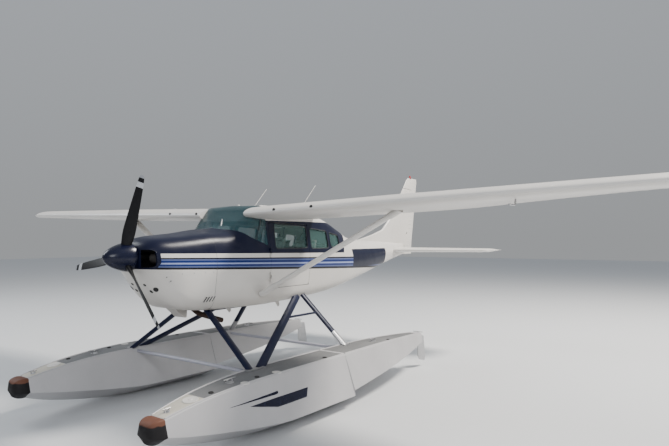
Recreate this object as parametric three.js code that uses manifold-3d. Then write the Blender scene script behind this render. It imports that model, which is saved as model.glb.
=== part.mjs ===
// High-wing, single-engine six-seat floatplane, built as separate pieces at real size.
// Millimetres. +X is the aircraft's left, +Y is aft, +Z is up. While the pieces are made,
// y = 0 is the firewall and z = 0 is the propeller shaft. The outer group then moves
// everything so that the keels stand on z = 0 and the length is centred on y = 0.
import * as THREE from 'three';
import { mergeVertices } from 'three/addons/utils/BufferGeometryUtils.js';
import Module from 'manifold-3d';

const wasm = await Module();
wasm.setup();

// Driving dimensions
const GAP = 0.3;              // between pieces that touch on the real aircraft
const RUN = 7;                // between a moving surface and its frame
const FLAP_RUN = 14;          // the flap's nose sweeps further as it turns down
const PIN_GAP = 0.7;          // between a hinge pin and what carries it

const NOSE_Y = -1420;         // spinner tip
const TAIL_Y = 7240;          // upper rear corner of the rudder
const BOW_Y = -1960;          // front of the bow bumpers
const KEEL_Z = -2100;         // keel below the propeller shaft

const COWL_FRONT_Y = -1030;
const COWL_SKIN = 22;
const COWL_SPLIT_Z = -190;    // upper and lower cowl meet here
const SCOOP_HALF = 92;        // half width of the air outlet's scoop
const EXHAUST_X = 145;        // the pipe leaves beside the scoop
const EXHAUST_R = 36;
const SPINNER_R = 180;
const SPINNER_REAR_Y = -1045;
const PROP_Y = -1124;
const SHAFT_END_Y = -1010;    // the propeller's hub meets the shaft here
const PROP_R = 1040;
const BLADE_ANGLES = [21, 141, 261];   // degrees from straight up towards +X

const WALL = 45;              // cabin side and door thickness
const ROOF_WALL = 70;
const SKIN = 20;              // tail cone wall
const FLOOR_Z = -560;         // cabin floor
const CABIN_FRONT_Y = 20;
const CABIN_REAR_Y = 3150;
const POST_Y = 985;           // windshield ends, door post begins
const DOOR_FRONT_Y = 1035;
const GLASS_TOP_Y = 930;      // the windshield ends here between the wing roots
const DOOR_REAR_Y = 2035;
const SILL_Z = -500;          // top of the belly pan, foot of doors and side panels
const CANT_Z = 478;           // side panels end, roof begins
const DOOR_TOP_Z = [464, 434]; // door head at its front and at its rear
const CARGO_SPLIT = [1500, 2130, 2720]; // cargo doors: front, middle seam, rear

const WING_LE_Y = 620;
const WING_Z = 555;           // leading edge at the centreline
const WING_TIP_X = 5460;
const DIHEDRAL = 1.73;
const FLAP_HINGE_Y = 1790;
const FLAP_X = [632, 3050];
const AILERON_X = [3070, 5000];
const AILERON_FRACTION = 0.77;
const WING_STRUT = { body: [585, 850, -560], wing: [2540, 1100, 560], chord: 158, thick: 62 };

const STAB_Z = -30;
const STAB_HINGE_Y = 6500;
const STAB_TIP_X = 1980;
const TUBE_R = 22;            // elevator torque tube
const TAIL_END_Y = 6450;
const RUDDER_FOOT_Z = -130;
const HORN_Z = [1290, 1250];  // foot of the rudder horn at its nose and at the hinge
const FIN_TOP_Z = 1560;
const BEACON = { y: 6905, r: 26, height: 62 };   // red lamp on the rudder's horn
// Bent whip aerials on the wing roots: foot, bend, where the slope starts, tip, all [y, z]
const WHIP = { x: 499, path: [[1925, 560], [1928, 655], [1962, 722], [2328, 1071]], r: 7,
  foot: { height: 70, chord: 110, thick: 44 } };

const FLOAT_X = 1300;
const FLOAT_STEP_Y = 1500;
const DECK_Z = -1390;
const KEEL_WIDTH = 30;
const FITTINGS = {            // where the float struts meet the body and the deck, left side
  frontBody: [205, 100, -720], frontDeck: [1160, -90, DECK_Z - 20],
  diagonalBody: [500, 1800, -660], diagonalDeck: [1160, 60, DECK_Z - 20],
  rearBody: [500, 1950, -655], rearDeck: [1160, 2130, DECK_Z - 20],
};
const CUFF = 9;               // the strut's end fairings stand this far outside it
const STRUT = { chord: 118, thick: 54 };
const CLEATS = { ys: [-640, 2720], length: 200, r: 9, height: 42, feet: 38 };   // mooring cleats on the decks
const SPREADER_Y = [-15, 2060];
const STEP_BAR = { z: -920, r: 17 };

// Colours
const paint = (color, roughness = 0.35, metalness = 0.1) =>
  new THREE.MeshStandardMaterial({ color, roughness, metalness });
const WHITE = paint('#e8e6e1');
const NAVY = paint('#141a33', 0.2);
const BLUE = paint('#1d2a55', 0.3);
const BLACK = paint('#101012', 0.3);
const RUBBER = paint('#1b1919', 0.8, 0);
const GREY = paint('#c9c7c4', 0.4, 0.3);
const IRON = paint('#4a4a4c', 0.6, 0.6);
const TRIM = paint('#4d4b48', 0.8, 0);
const CLOTH = paint('#8d8573', 0.9, 0);
const GLASS = new THREE.MeshStandardMaterial({
  color: '#9fc4c1', roughness: 0.05, metalness: 0, transparent: true, opacity: 0.35 });

// Solid helpers

const v3 = ([x, y, z]) => new THREE.Vector3(x, y, z);
const mix = (a, b, t) => a + (b - a) * t;
const rad = THREE.MathUtils.degToRad;

// A closed three.js mesh becomes a solid that can be cut and joined.
function solid(geometry) {
  geometry.deleteAttribute('normal');
  geometry.deleteAttribute('uv');
  const welded = mergeVertices(geometry, 1e-3);
  const vertProperties = new Float32Array(welded.attributes.position.array);
  const triVerts = new Uint32Array(welded.index.array);
  return new wasm.Manifold(new wasm.Mesh({ numProp: 3, vertProperties, triVerts }));
}

function toGeometry(body) {
  const mesh = body.getMesh();
  const geometry = new THREE.BufferGeometry();
  geometry.setAttribute('position', new THREE.BufferAttribute(mesh.vertProperties, 3));
  geometry.setIndex(new THREE.BufferAttribute(mesh.triVerts, 1));
  return geometry;
}

const join = (first, ...rest) => rest.reduce((a, b) => a.add(b), first);
const cut = (first, ...rest) => rest.reduce((a, b) => a.subtract(b), first);
const common = (a, b) => a.intersect(b);

// Solid through rings of equally many points, closed by a fan at each end.
function loft(rings) {
  const count = rings[0].length;
  const points = rings.flat();
  const index = [];
  for (let r = 0; r + 1 < rings.length; r += 1) {
    for (let i = 0; i < count; i += 1) {
      const j = (i + 1) % count;
      const [a, b, c, d] = [r * count + i, r * count + j, (r + 1) * count + j, (r + 1) * count + i];
      index.push(a, b, c, a, c, d);
    }
  }
  for (const [start, turned] of [[0, true], [(rings.length - 1) * count, false]]) {
    const centre = new THREE.Vector3();
    for (let i = 0; i < count; i += 1) centre.addScaledVector(points[start + i], 1 / count);
    const hub = points.push(centre) - 1;
    for (let i = 0; i < count; i += 1) {
      const [a, b] = [start + i, start + ((i + 1) % count)];
      index.push(...(turned ? [hub, b, a] : [hub, a, b]));
    }
  }
  let volume = 0;
  for (let t = 0; t < index.length; t += 3) {
    const [a, b, c] = [points[index[t]], points[index[t + 1]], points[index[t + 2]]];
    volume += a.dot(b.clone().cross(c));
  }
  if (volume < 0) {
    for (let t = 0; t < index.length; t += 3) {
      [index[t + 1], index[t + 2]] = [index[t + 2], index[t + 1]];
    }
  }
  const geometry = new THREE.BufferGeometry().setFromPoints(points);
  geometry.setIndex(index);
  return solid(geometry);
}

function box(x0, x1, y0, y1, z0, z1) {
  const geometry = new THREE.BoxGeometry(Math.abs(x1 - x0), y1 - y0, z1 - z0);
  geometry.translate((x0 + x1) / 2, (y0 + y1) / 2, (z0 + z1) / 2);
  return solid(geometry);
}

// A side-view outline [[y, z], ...] drawn out along X, its corners rounded by r.
function prismX(outline, x0, x1, r = 0, segments = 4) {
  const points = outline.map(([y, z]) => new THREE.Vector2(y, z));
  const shape = new THREE.Shape();
  points.forEach((corner, i) => {
    const before = points[(i + points.length - 1) % points.length];
    const after = points[(i + 1) % points.length];
    const start = corner.clone().add(before.clone().sub(corner).setLength(r));
    const end = corner.clone().add(after.clone().sub(corner).setLength(r));
    if (i === 0) shape.moveTo(start.x, start.y);
    else shape.lineTo(start.x, start.y);
    if (r > 0) shape.quadraticCurveTo(corner.x, corner.y, end.x, end.y);
  });
  shape.closePath();
  const options = { depth: Math.abs(x1 - x0), bevelEnabled: false, curveSegments: segments };
  const geometry = new THREE.ExtrudeGeometry(shape, options);
  geometry.applyMatrix4(new THREE.Matrix4().makeBasis(v3([0, 1, 0]), v3([0, 0, 1]), v3([1, 0, 0])));
  geometry.translate(Math.min(x0, x1), 0, 0);
  return solid(geometry);
}

// Straight round or oval bar from a to b. The chord lies fore and aft.
function bar(a, b, chord, thick = chord, sides = 12, endScale = 1) {
  const [start, end] = [v3(a), v3(b)];
  const along = end.clone().sub(start);
  const geometry = new THREE.CylinderGeometry(endScale, 1, along.length(), sides, 1);
  geometry.scale(chord / 2, 1, thick / 2);
  const up = along.clone().normalize();
  const aft = v3(Math.abs(up.y) > 0.9 ? [1, 0, 0] : [0, 1, 0]);
  const chordAxis = aft.addScaledVector(up, -aft.dot(up)).normalize();
  const side = chordAxis.clone().cross(up);
  geometry.applyMatrix4(new THREE.Matrix4().makeBasis(chordAxis, up, side));
  geometry.translate(...start.add(end).multiplyScalar(0.5).toArray());
  return solid(geometry);
}

const mirrored = ([x, y, z]) => [-x, y, z];
const onSide = (side, point) => (side > 0 ? point : mirrored(point));

// Fuselage

// y, half width at the belt, belt z, half width of the flat belly, belly z, belly corner,
// half width of the top, top z, crown of the top, top corner
const FUSELAGE = [
  [-1030, 262, -85, 82, -162, 90, 212, 122, 35, 110],
  [-1010, 285, -86, 105, -185, 110, 235, 145, 35, 125],
  [-965, 360, -89, 170, -270, 150, 305, 205, 40, 155],
  [-840, 420, -93, 250, -400, 190, 360, 250, 45, 170],
  [-640, 466, -97, 330, -580, 205, 395, 270, 48, 170],
  [-400, 490, -101, 395, -692, 210, 428, 290, 52, 170],
  [0, 530, -110, 440, -732, 200, 460, 340, 70, 170],
  [420, 572, -120, 480, -738, 180, 480, 376, 85, 170],
  [640, 590, -125, 500, -738, 170, 500, 545, 62, 130],
  [850, 602, -130, 520, -738, 160, 512, 698, 20, 85],
  [1000, 608, -135, 530, -738, 160, 510, 712, 14, 60],
  [1900, 608, -135, 530, -708, 160, 506, 668, 14, 60],
  [2400, 596, -130, 520, -684, 160, 480, 604, 25, 90],
  [2900, 560, -120, 480, -648, 160, 425, 508, 40, 120],
  [3300, 512, -110, 435, -606, 160, 365, 405, 50, 140],
  [3700, 456, -100, 385, -552, 150, 305, 280, 50, 140],
  [4500, 352, -90, 290, -432, 130, 230, 188, 40, 120],
  [5500, 215, -60, 165, -270, 90, 135, 150, 25, 75],
  [6450, 82, -20, 60, -122, 40, 52, 104, 8, 40],
];

// Steps along the belly corner, the belt and the top corner
const FINE = [4, 2, 4];
const PLAIN = [2, 1, 2];      // for inner faces
function fuselageRing(row, inset, steps) {
  const [y, width, belt, foot, belly, footR, shoulder, top, crown, shoulderR] = row;
  const outline = [
    [0, belly + inset], [foot - inset, belly + inset], [width - inset, belt],
    [shoulder - inset, top - crown - inset], [0, top - inset],
  ].map(([x, z]) => new THREE.Vector2(x, z));
  const corners = [[1, footR], [2, 0.3 * (belt - belly)], [3, shoulderR]];
  const half = [outline[0]];
  for (const [i, setback] of corners) {
    const reach = (to) => Math.min(setback, 0.48 * outline[i].distanceTo(outline[to]));
    const toward = (to) => outline[i].clone()
      .lerp(outline[to], reach(to) / outline[i].distanceTo(outline[to]));
    const [start, end] = [toward(i - 1), toward(i + 1)];
    half.push(...new THREE.QuadraticBezierCurve(start, outline[i], end).getPoints(steps[i - 1]));
  }
  half.push(outline[4]);
  const ring = half.map((p) => new THREE.Vector3(p.x, y, p.y));
  for (const p of half.slice(1, -1).reverse()) ring.push(new THREE.Vector3(-p.x, y, p.y));
  return ring;
}

const hull = (inset, steps = PLAIN) => loft(FUSELAGE.map((row) => fuselageRing(row, inset, steps)));
const outer = hull(0, FINE);
const clearOuter = hull(-GAP, FINE);
const FAR = 3000;             // reaches past the body on every side
const slab = (y0, y1) => box(-FAR, FAR, y0, y1, -FAR, FAR);
const cowlShell = cut(common(outer, slab(COWL_FRONT_Y, -GAP)),
  common(hull(COWL_SKIN), slab(COWL_FRONT_Y + COWL_SKIN, FAR)));
// The cabin's inside, with its flat floor
const cavity = common(hull(WALL), box(-FAR, FAR, CABIN_FRONT_Y, CABIN_REAR_Y, FLOOR_Z, FAR));
const roofCavity = common(hull(ROOF_WALL), box(-FAR, FAR, CABIN_FRONT_Y, CABIN_REAR_Y, FLOOR_Z, FAR));
const cabinShell = cut(common(outer, slab(0, CABIN_REAR_Y - GAP)), cavity);
const paneShell = cut(hull(12), hull(18));
const glassShell = cut(hull(1, FINE), hull(8));

// Side-view outline of the windshield, and of what lies below and behind it
const GLASS_FOOT = [[250, 440], [420, 368], [630, 250], [750, 203], [POST_Y, 126]];
const WINDSHIELD = [...GLASS_FOOT, [POST_Y, 640], [GLASS_TOP_Y, 640], [GLASS_TOP_Y, 800], [250, 800]];

function windowOutline(y0, y1, z0, frontTop, rearTop) {
  return [[y0, z0], [y1, z0], [y1, rearTop], [y0, frontTop]];
}
const grow = (outline, by) => {
  const middle = outline.reduce((sum, [y, z]) => [sum[0] + y / outline.length,
    sum[1] + z / outline.length], [0, 0]);
  return outline.map(([y, z]) => [y + by * Math.sign(y - middle[0]), z + by * Math.sign(z - middle[1])]);
};
const WINDOW_R = 55;
// name, side (+1 left), outline of the glass: front y, rear y, sill z, front head z, rear head z
const WINDOWS = {
  window_door_left: [1, windowOutline(1170, 1982, 76, 434, 400)],
  window_mid_left: [1, windowOutline(2090, 2635, 62, 375, 338)],
  window_rear_left: [1, windowOutline(2735, 3085, 76, 316, 270)],
  window_front_right: [-1, windowOutline(1085, 1425, 76, 434, 420)],
  window_cargo_front: [-1, windowOutline(1575, 2065, 68, 410, 388)],
  window_cargo_rear: [-1, windowOutline(2195, 2640, 66, 352, 325)],
  window_rear_right: [-1, windowOutline(2790, 3070, 75, 305, 270)],
};
const sidePrism = (side, outline, r) => prismX(outline, side * 250, side * 800, r);
const windowHole = (name) => sidePrism(WINDOWS[name][0], WINDOWS[name][1], WINDOW_R);
const windowPane = (name) => common(paneShell,
  sidePrism(WINDOWS[name][0], grow(WINDOWS[name][1], -GAP), WINDOW_R));

function doorOutline(y0, y1, margin) {
  const head = (y) => mix(DOOR_TOP_Z[0], DOOR_TOP_Z[1], (y - DOOR_FRONT_Y) / 1000);
  return [[y0 + margin, SILL_Z + margin], [y1 - margin, SILL_Z + margin],
    [y1 - margin, head(y1) - margin], [y0 + margin, head(y0) - margin]];
}
const doorHole = (side, y0, y1) => sidePrism(side, doorOutline(y0, y1, 0), 0);
const DOOR_R = 40;
const doorPanel = (side, y0, y1) => common(cabinShell,
  sidePrism(side, doorOutline(y0, y1, RUN), DOOR_R));

// A hinge: two knuckles on the body and, between them, one on the door
const KNUCKLE = { r: 11, length: 46, out: 4 };
function skinX(y, z) {        // half width of the skin at a place on the side
  const i = FUSELAGE.findIndex((row) => row[0] > y) - 1;
  const t = (y - FUSELAGE[i][0]) / (FUSELAGE[i + 1][0] - FUSELAGE[i][0]);
  const at = (c) => mix(FUSELAGE[i][c], FUSELAGE[i + 1][c], t);
  const [end, endZ] = z > at(2) ? [at(6), at(7) - at(8)] : [at(3), at(4)];
  return mix(at(1), end, (z - at(2)) / (endZ - at(2)));
}
const DOOR_HINGES = {         // y of the hinge line, and the heights of its two hinges
  door_left: [1, DOOR_FRONT_Y + RUN / 2, [-330, 20]],
  cargo_door_front: [-1, CARGO_SPLIT[0] + RUN / 2, [-330, 20]],
  cargo_door_rear: [-1, CARGO_SPLIT[2] - RUN / 2, [-330, 20]],
};
const HINGE_OUT = 14;         // hinge line outside the skin at the belt
function knuckles(name, onDoor) {
  const [side, y, heights] = DOOR_HINGES[name];
  const toward = name === 'cargo_door_rear' ? 1 : -1;   // the body lies this way along Y
  const x = side * (skinX(y, -135) + HINGE_OUT);
  const parts = [];
  for (const z of heights) {
    const half = KNUCKLE.length / 2;
    const spans = onDoor ? [[-half, half]]
      : [[-3 * half - PIN_GAP, -half - PIN_GAP], [half + PIN_GAP, 3 * half + PIN_GAP]];
    for (const [low, high] of spans) {
      parts.push(bar([x, y, z + low], [x, y, z + high], 2 * KNUCKLE.r));
      const [y0, y1] = (toward > 0) === onDoor ? [y - 34, y - 5] : [y + 5, y + 34];
      const inner = side * (skinX(y, z) - 26);
      const leaf = box(Math.min(x, inner), Math.max(x, inner), y0, y1, z + low, z + high);
      const arm = box(Math.min(x, x + side * 4), Math.max(x, x + side * 4), Math.min(y, y0),
        Math.max(y, y1), z + low, z + high);
      parts.push(leaf, arm);
    }
  }
  return parts;
}

function makeCowls() {
  const inlets = [1, -1].map((side) => prismX(
    [[-1300, -125], [-905, -125], [-905, 90], [-1300, 90]], side * 195, side * 700, 60));
  const shaftHole = bar([0, -1200, 0], [0, -900, 0], 150, 150, 20);
  // Air leaves through a narrow scoop under the rear of the engine
  const lip = prismX([[-430, -640], [-340, -712], [-200, -826], [-150, -828], [-138, -640]],
    -SCOOP_HALF, SCOOP_HALF);
  const lipHole = prismX([[-400, -640], [-325, -698], [-195, -804], [-60, -806], [-60, -640]],
    22 - SCOOP_HALF, SCOOP_HALF - 22);
  const open = cut(join(cowlShell, cut(lip, common(hull(COWL_SKIN), slab(-1000, 0)))),
    common(lipHole, box(-300, 300, -900, 50, -900, -650)), ...inlets, shaftHole);
  const pipeSlot = box(EXHAUST_X - 44, EXHAUST_X + 54, -350, 50, -900, -600);
  return {
    upper: common(open, box(-FAR, FAR, -FAR, 0, COWL_SPLIT_Z, FAR)),
    lower: cut(common(open, box(-FAR, FAR, -FAR, 0, -FAR, COWL_SPLIT_Z - GAP)), pipeSlot),
  };
}

// Flat six engine as one block, its mount tubes and its propeller shaft
function makeEngine() {
  const block = box(-300, 300, -720, -150, -300, 90);
  const sump = box(-190, 190, -600, -220, -520, -290);
  const shaft = bar([0, SHAFT_END_Y, 0], [0, -710, 0], 100, 100, 16);
  const mounts = [[1, 60], [1, -420], [-1, 60], [-1, -420]].map(([side, z]) => (
    bar([side * 300, 20, z], [side * 170, -240, z * 0.6], 34, 34, 8)));
  return cut(join(block, sump, shaft, ...mounts), slab(-GAP, FAR));
}

function makeFront() {
  const foot = GLASS_FOOT.map(([y, z]) => [y, z - 1]).reverse();
  const below = prismX([[-10, -FAR], [POST_Y + 5, -FAR], [POST_Y + 5, foot[0][1] - 3], ...foot,
    [-10, 600]], -FAR, FAR);
  const post = box(-FAR, FAR, POST_Y + GAP, DOOR_FRONT_Y, -FAR, CANT_Z - GAP);
  return join(common(cabinShell, below), common(cabinShell, post), ...knuckles('door_left', false));
}

function makeSides() {
  const frontY = DOOR_FRONT_Y + GAP;
  const rearY = CABIN_REAR_Y - GAP;
  const band = (side, y0) => common(cabinShell, box(side * 200, side * 900, y0, rearY,
    SILL_Z + GAP, CANT_Z - GAP));
  const left = cut(band(1, frontY), doorHole(1, -FAR, DOOR_REAR_Y),
    windowHole('window_mid_left'), windowHole('window_rear_left'));
  const right = cut(band(-1, frontY), doorHole(-1, CARGO_SPLIT[0], CARGO_SPLIT[2]),
    windowHole('window_front_right'), windowHole('window_rear_right'));
  const knuckled = join(right, ...knuckles('cargo_door_front', false),
    ...knuckles('cargo_door_rear', false));
  return { left, right: knuckled };
}

function makeDoor(name, side, y0, y1) {
  const pane = { door_left: 'window_door_left', cargo_door_front: 'window_cargo_front',
    cargo_door_rear: 'window_cargo_rear' }[name];
  return join(cut(doorPanel(side, y0, y1), windowHole(pane)), ...knuckles(name, true));
}

function makeTailcone() {
  const body = common(outer, slab(CABIN_REAR_Y, TAIL_END_Y));
  const hollow = common(hull(SKIN), slab(CABIN_REAR_Y + SKIN, TAIL_END_Y - 60));
  const hatch = bar([0, CABIN_REAR_Y - 50, -80], [0, CABIN_REAR_Y + 60, -80], 420, 420, 20);
  const bearing = box(-14, 14, TAIL_END_Y - 20, STAB_HINGE_Y - TUBE_R - PIN_GAP, STAB_Z - 14, STAB_Z + 14);
  return join(cut(body, hollow, hatch, stabilizerBody(GAP)), bearing);
}

// Wings and tail surfaces

// Height of a four-digit section at fraction f of its chord: camber line and half thickness
function foil(f, thickness, camber) {
  const half = 5 * thickness * (0.2969 * Math.sqrt(f) - 0.126 * f - 0.3516 * f ** 2
    + 0.2843 * f ** 3 - 0.1036 * f ** 4);
  const p = 0.4;
  const line = f < p ? (camber / p ** 2) * (2 * p * f - f ** 2)
    : (camber / (1 - p) ** 2) * (1 - 2 * p + 2 * p * f - f ** 2);
  return { line, half };
}

const FRACTIONS = [1, 0.85, 0.68, 0.5, 0.34, 0.2, 0.1, 0.035, 0.006, 0];
const EDGE = 2.5;             // half thickness of a trailing edge

// A station knows where its chord starts, which way it runs and which way it is thick.
function surfacePoint(s, f, sign) {
  const { line, half } = foil(f, s.thickness, s.camber ?? 0);
  const height = line * s.chord + sign * Math.max(half * s.chord, EDGE);
  return s.origin.clone().addScaledVector(s.along, f * s.chord).addScaledVector(s.up, height);
}
// Section from the leading edge to fraction `to`, blunt there
const frontRing = (s, to = 1, grown = 0) => [
  ...FRACTIONS.map((f) => surfacePoint(s, f * to, 1).addScaledVector(s.up, grown)),
  ...FRACTIONS.slice(0, -1).reverse().map((f) => surfacePoint(s, f * to, -1).addScaledVector(s.up, -grown)),
];
// The part behind fraction `from`, with a round nose about the hinge point
function rearRing(s, from, hinge = hingePoint(s, from), r = noseRadius(s, from)) {
  const fractions = [1, mix(from, 1, 0.5), from];
  const nose = [30, 60, 90, 120, 150].map((a) => hinge.clone()
    .addScaledVector(s.up, r * Math.cos(rad(a))).addScaledVector(s.along, -r * Math.sin(rad(a))));
  return [...fractions.map((f) => surfacePoint(s, f, 1)), ...nose,
    ...fractions.slice().reverse().map((f) => surfacePoint(s, f, -1))];
}
function hingePoint(s, f) {
  return surfacePoint(s, f, 1).add(surfacePoint(s, f, -1)).multiplyScalar(0.5);
}
function noseRadius(s, f) {
  return foil(f, s.thickness, s.camber ?? 0).half * s.chord;
}

// Wing stations: x, chord, leading edge behind the root's, lift of the section, incidence, thickness
const WING = [
  [430, 1626, 0, 0, 1.5, 0.12], [2540, 1626, 0, 0, 1.5, 0.12], [3060, 1536, 28, 0, 1.5, 0.12],
  [5300, 1150, 150, 0, -1.2, 0.12],
  [5400, 1110, 170, -4, -1.3, 0.11], [5446, 1010, 225, -14, -1.4, 0.085],
  [WING_TIP_X, 880, 300, -22, -1.4, 0.05],
];
function wingStation(x, side) {
  const i = Math.max(0, WING.findIndex((row) => row[0] >= x) - 1);
  const t = (x - WING[i][0]) / (WING[i + 1][0] - WING[i][0]);
  const [, chord, sweep, lift, incidence, thickness] = WING[i].map((a, c) => mix(a, WING[i + 1][c], t));
  const tilt = rad(incidence);
  return {
    origin: v3([side * x, WING_LE_Y + sweep, WING_Z + x * Math.tan(rad(DIHEDRAL)) + lift]),
    along: v3([0, Math.cos(tilt), -Math.sin(tilt)]),
    up: v3([0, Math.sin(tilt), Math.cos(tilt)]),
    chord, thickness, camber: 0.02,
  };
}
const fractionAt = (s, y) => (y - s.origin.y) / s.chord;
// Fraction of the hinge line at x: flaps share one y, ailerons one fraction
const hingeFraction = (s, kind) => (kind === 'flap' ? fractionAt(s, FLAP_HINGE_Y) : AILERON_FRACTION);
const BLUNT = 0.3;            // the frame's skins end this share of the nose radius ahead of the hinge

function hingeLine(stations, fractions, margin) {
  const ends = [0, stations.length - 1];
  const [a, b] = ends.map((i) => hingePoint(stations[i], fractions[i]));
  const [ra, rb] = ends.map((i) => noseRadius(stations[i], fractions[i]) + margin);
  return { a, b, ra, rb };
}
function cove({ a, b, ra, rb }, reach = 1) {
  const out = b.clone().sub(a).setLength(reach);
  const [start, end] = [a.clone().sub(out), b.clone().add(out)];
  return bar(start.toArray(), end.toArray(), 2 * ra, 2 * ra, 16, rb / ra);
}
function pin({ a, b }, reach, r = 6) {
  const out = b.clone().sub(a).setLength(reach);
  return bar(a.clone().sub(out).toArray(), b.clone().add(out).toArray(), 2 * r, 2 * r, 10);
}

function wingBay(side, kind, [x0, x1], grown = 0) {
  const xs = x0 < 2540 && x1 > 2540 ? [x0 - 1, 2540, x1 + 1] : [x0 - 1, x1 + 1];
  const stations = xs.map((x) => wingStation(x, side));
  const fractions = stations.map((s) => hingeFraction(s, kind));
  const rings = stations.map((s, i) => {
    const blunt = (BLUNT * noseRadius(s, fractions[i])) / s.chord;
    return frontRing(s, fractions[i] - blunt, grown);
  });
  const room = kind === 'flap' ? FLAP_RUN : RUN;
  return { bay: loft(rings), line: hingeLine(stations, fractions, room) };
}
function makeWing(side) {
  const full = (...xs) => loft(xs.map((x) => frontRing(wingStation(x, side))));
  const flapBay = wingBay(side, 'flap', FLAP_X);
  const aileronBay = wingBay(side, 'aileron', AILERON_X);
  const bays = [cut(flapBay.bay, cove(flapBay.line)), cut(aileronBay.bay, cove(aileronBay.line))];
  const whole = join(full(430, FLAP_X[0]), ...bays, full(FLAP_X[1], AILERON_X[0]),
    full(AILERON_X[1], 5300, 5400, 5446, WING_TIP_X));
  return cut(whole, clearOuter);
}
function makeWingSurface(side, kind, [x0, x1]) {
  const ends = [x0 + RUN, x1 - RUN];
  const xs = kind === 'flap' ? [ends[0], 2540, ends[1]] : ends;
  const stations = xs.map((x) => wingStation(x, side));
  const fractions = stations.map((s) => hingeFraction(s, kind));
  const line = hingeLine(stations, fractions, 0);
  const body = loft(stations.map((s, i) => {
    const t = (xs[i] - xs[0]) / (ends[1] - ends[0]);
    return rearRing(s, fractions[i], line.a.clone().lerp(line.b, t), mix(line.ra, line.rb, t));
  }));
  return join(body, pin(line, RUN - PIN_GAP));
}

// A whip stands on the wing root's skin in a small foot.
function makeWhip(side) {
  const { x, path, r } = WHIP;
  const points = path.map(([y, z]) => [side * x, y, z]);
  const rods = points.slice(1).map((point, i) => bar(points[i], point, 2 * r, 2 * r, 8));
  const elbows = points.slice(1, -1).map((point) => {
    const ball = new THREE.SphereGeometry(r, 8, 6);
    ball.translate(...point);
    return solid(ball);
  });
  const [footY, footZ] = path[0];
  const { height, chord, thick } = WHIP.foot;
  const foot = bar([side * x, footY, footZ], [side * x, footY, footZ + height], chord, thick, 12, 0.5);
  const skin = loft([430, FLAP_X[0]].map((at) => frontRing(wingStation(at, side), 1, GAP)));
  return cut(join(foot, ...rods, ...elbows), skin, clearOuter);
}

// Stabilizer stations: x, leading edge y, trailing edge y
const STABILIZER = [[0, 5700, 6950], [STAB_TIP_X, 6030, 6850]];
const ELEVATOR_ROOT_X = 105;
const ELEVATOR_CUT = 430;     // the inner corners are cut back this far for the rudder's swing
function tailStation(x, side, grown = 0) {
  const t = x / STAB_TIP_X;
  const le = mix(STABILIZER[0][1], STABILIZER[1][1], t) - grown;
  return { origin: v3([side * x, le, STAB_Z]), along: v3([0, 1, 0]), up: v3([0, 0, 1]),
    chord: mix(STABILIZER[0][2], STABILIZER[1][2], t) - le, thickness: 0.085 };
}
function stabilizerBody(grown = 0) {
  const half = (side) => {
    const stations = [0, STAB_TIP_X - 40, STAB_TIP_X].map((x) => tailStation(x, side, grown));
    stations[2].thickness *= 0.4;
    return loft(stations.map((s) => {
      const f = fractionAt(s, STAB_HINGE_Y);
      return frontRing(s, f - (BLUNT * noseRadius(tailStation(STAB_TIP_X, side), 0.6)) / s.chord, grown);
    }));
  };
  return cut(join(half(1), half(-1)), box(-200, 200, TAIL_END_Y - 62 + grown, FAR * 3, -FAR, FAR));
}
function tailLine(side, margin) {
  const stations = [ELEVATOR_ROOT_X, STAB_TIP_X].map((x) => tailStation(x, side));
  return hingeLine(stations, stations.map((s) => fractionAt(s, STAB_HINGE_Y)), margin);
}
function makeStabilizer() {
  return cut(stabilizerBody(), ...[1, -1].map((side) => cove(tailLine(side, RUN))),
    box(-ELEVATOR_ROOT_X, ELEVATOR_ROOT_X, STAB_HINGE_Y - 60, FAR * 3, -FAR, FAR));
}
function makeElevator() {
  const half = (side) => {
    const stations = [ELEVATOR_ROOT_X, STAB_TIP_X - 40, STAB_TIP_X].map((x) => tailStation(x, side));
    stations[2].thickness *= 0.4;
    const body = loft(stations.map((s) => rearRing(s, fractionAt(s, STAB_HINGE_Y))));
    const swing = prismTop([[side * 90, STAB_HINGE_Y + 70], [side * 90, 7100], [side * 320, 7100],
      [side * 285, STAB_HINGE_Y + ELEVATOR_CUT]]);
    return cut(body, swing);
  };
  const tube = bar([-ELEVATOR_ROOT_X - 20, STAB_HINGE_Y, STAB_Z],
    [ELEVATOR_ROOT_X + 20, STAB_HINGE_Y, STAB_Z], 2 * TUBE_R, 2 * TUBE_R, 16);
  return join(half(1), half(-1), tube);
}
// A plan-view outline [[x, y], ...] drawn out along Z
function prismTop(outline) {
  const shape = new THREE.Shape(outline.map(([x, y]) => new THREE.Vector2(x, y)));
  const geometry = new THREE.ExtrudeGeometry(shape, { depth: 2 * FAR, bevelEnabled: false });
  geometry.translate(0, 0, -FAR);
  return solid(geometry);
}

// Fin and rudder stations: z, leading edge y, trailing edge y
const FIN = [[60, 5620, 6960], [560, 5880, 7060], [1000, 6270, 7150], [1500, 6710, TAIL_Y],
  [FIN_TOP_Z, 6800, TAIL_Y - 8]];
const RUDDER_HINGE = { y: 6585, slope: 0.285 };   // y of the hinge line at z = 0, and its lean
const hingeY = (z) => RUDDER_HINGE.y + RUDDER_HINGE.slope * z;
function finStation(z, thickness = 0.075) {
  const i = Math.min(FIN.length - 2, Math.max(0, FIN.findIndex((row) => row[0] >= z) - 1));
  const t = (z - FIN[i][0]) / (FIN[i + 1][0] - FIN[i][0]);
  const le = mix(FIN[i][1], FIN[i + 1][1], t);
  return { origin: v3([0, le, z]), along: v3([0, 1, 0]), up: v3([1, 0, 0]),
    chord: mix(FIN[i][2], FIN[i + 1][2], t) - le, thickness };
}
const rudderLine = (z0, z1, margin) => {
  const stations = [z0, z1].map((z) => finStation(z));
  return hingeLine(stations, stations.map((s) => fractionAt(s, hingeY(s.origin.z))), margin);
};
const HORN_GAP_Z = 12;
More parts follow.
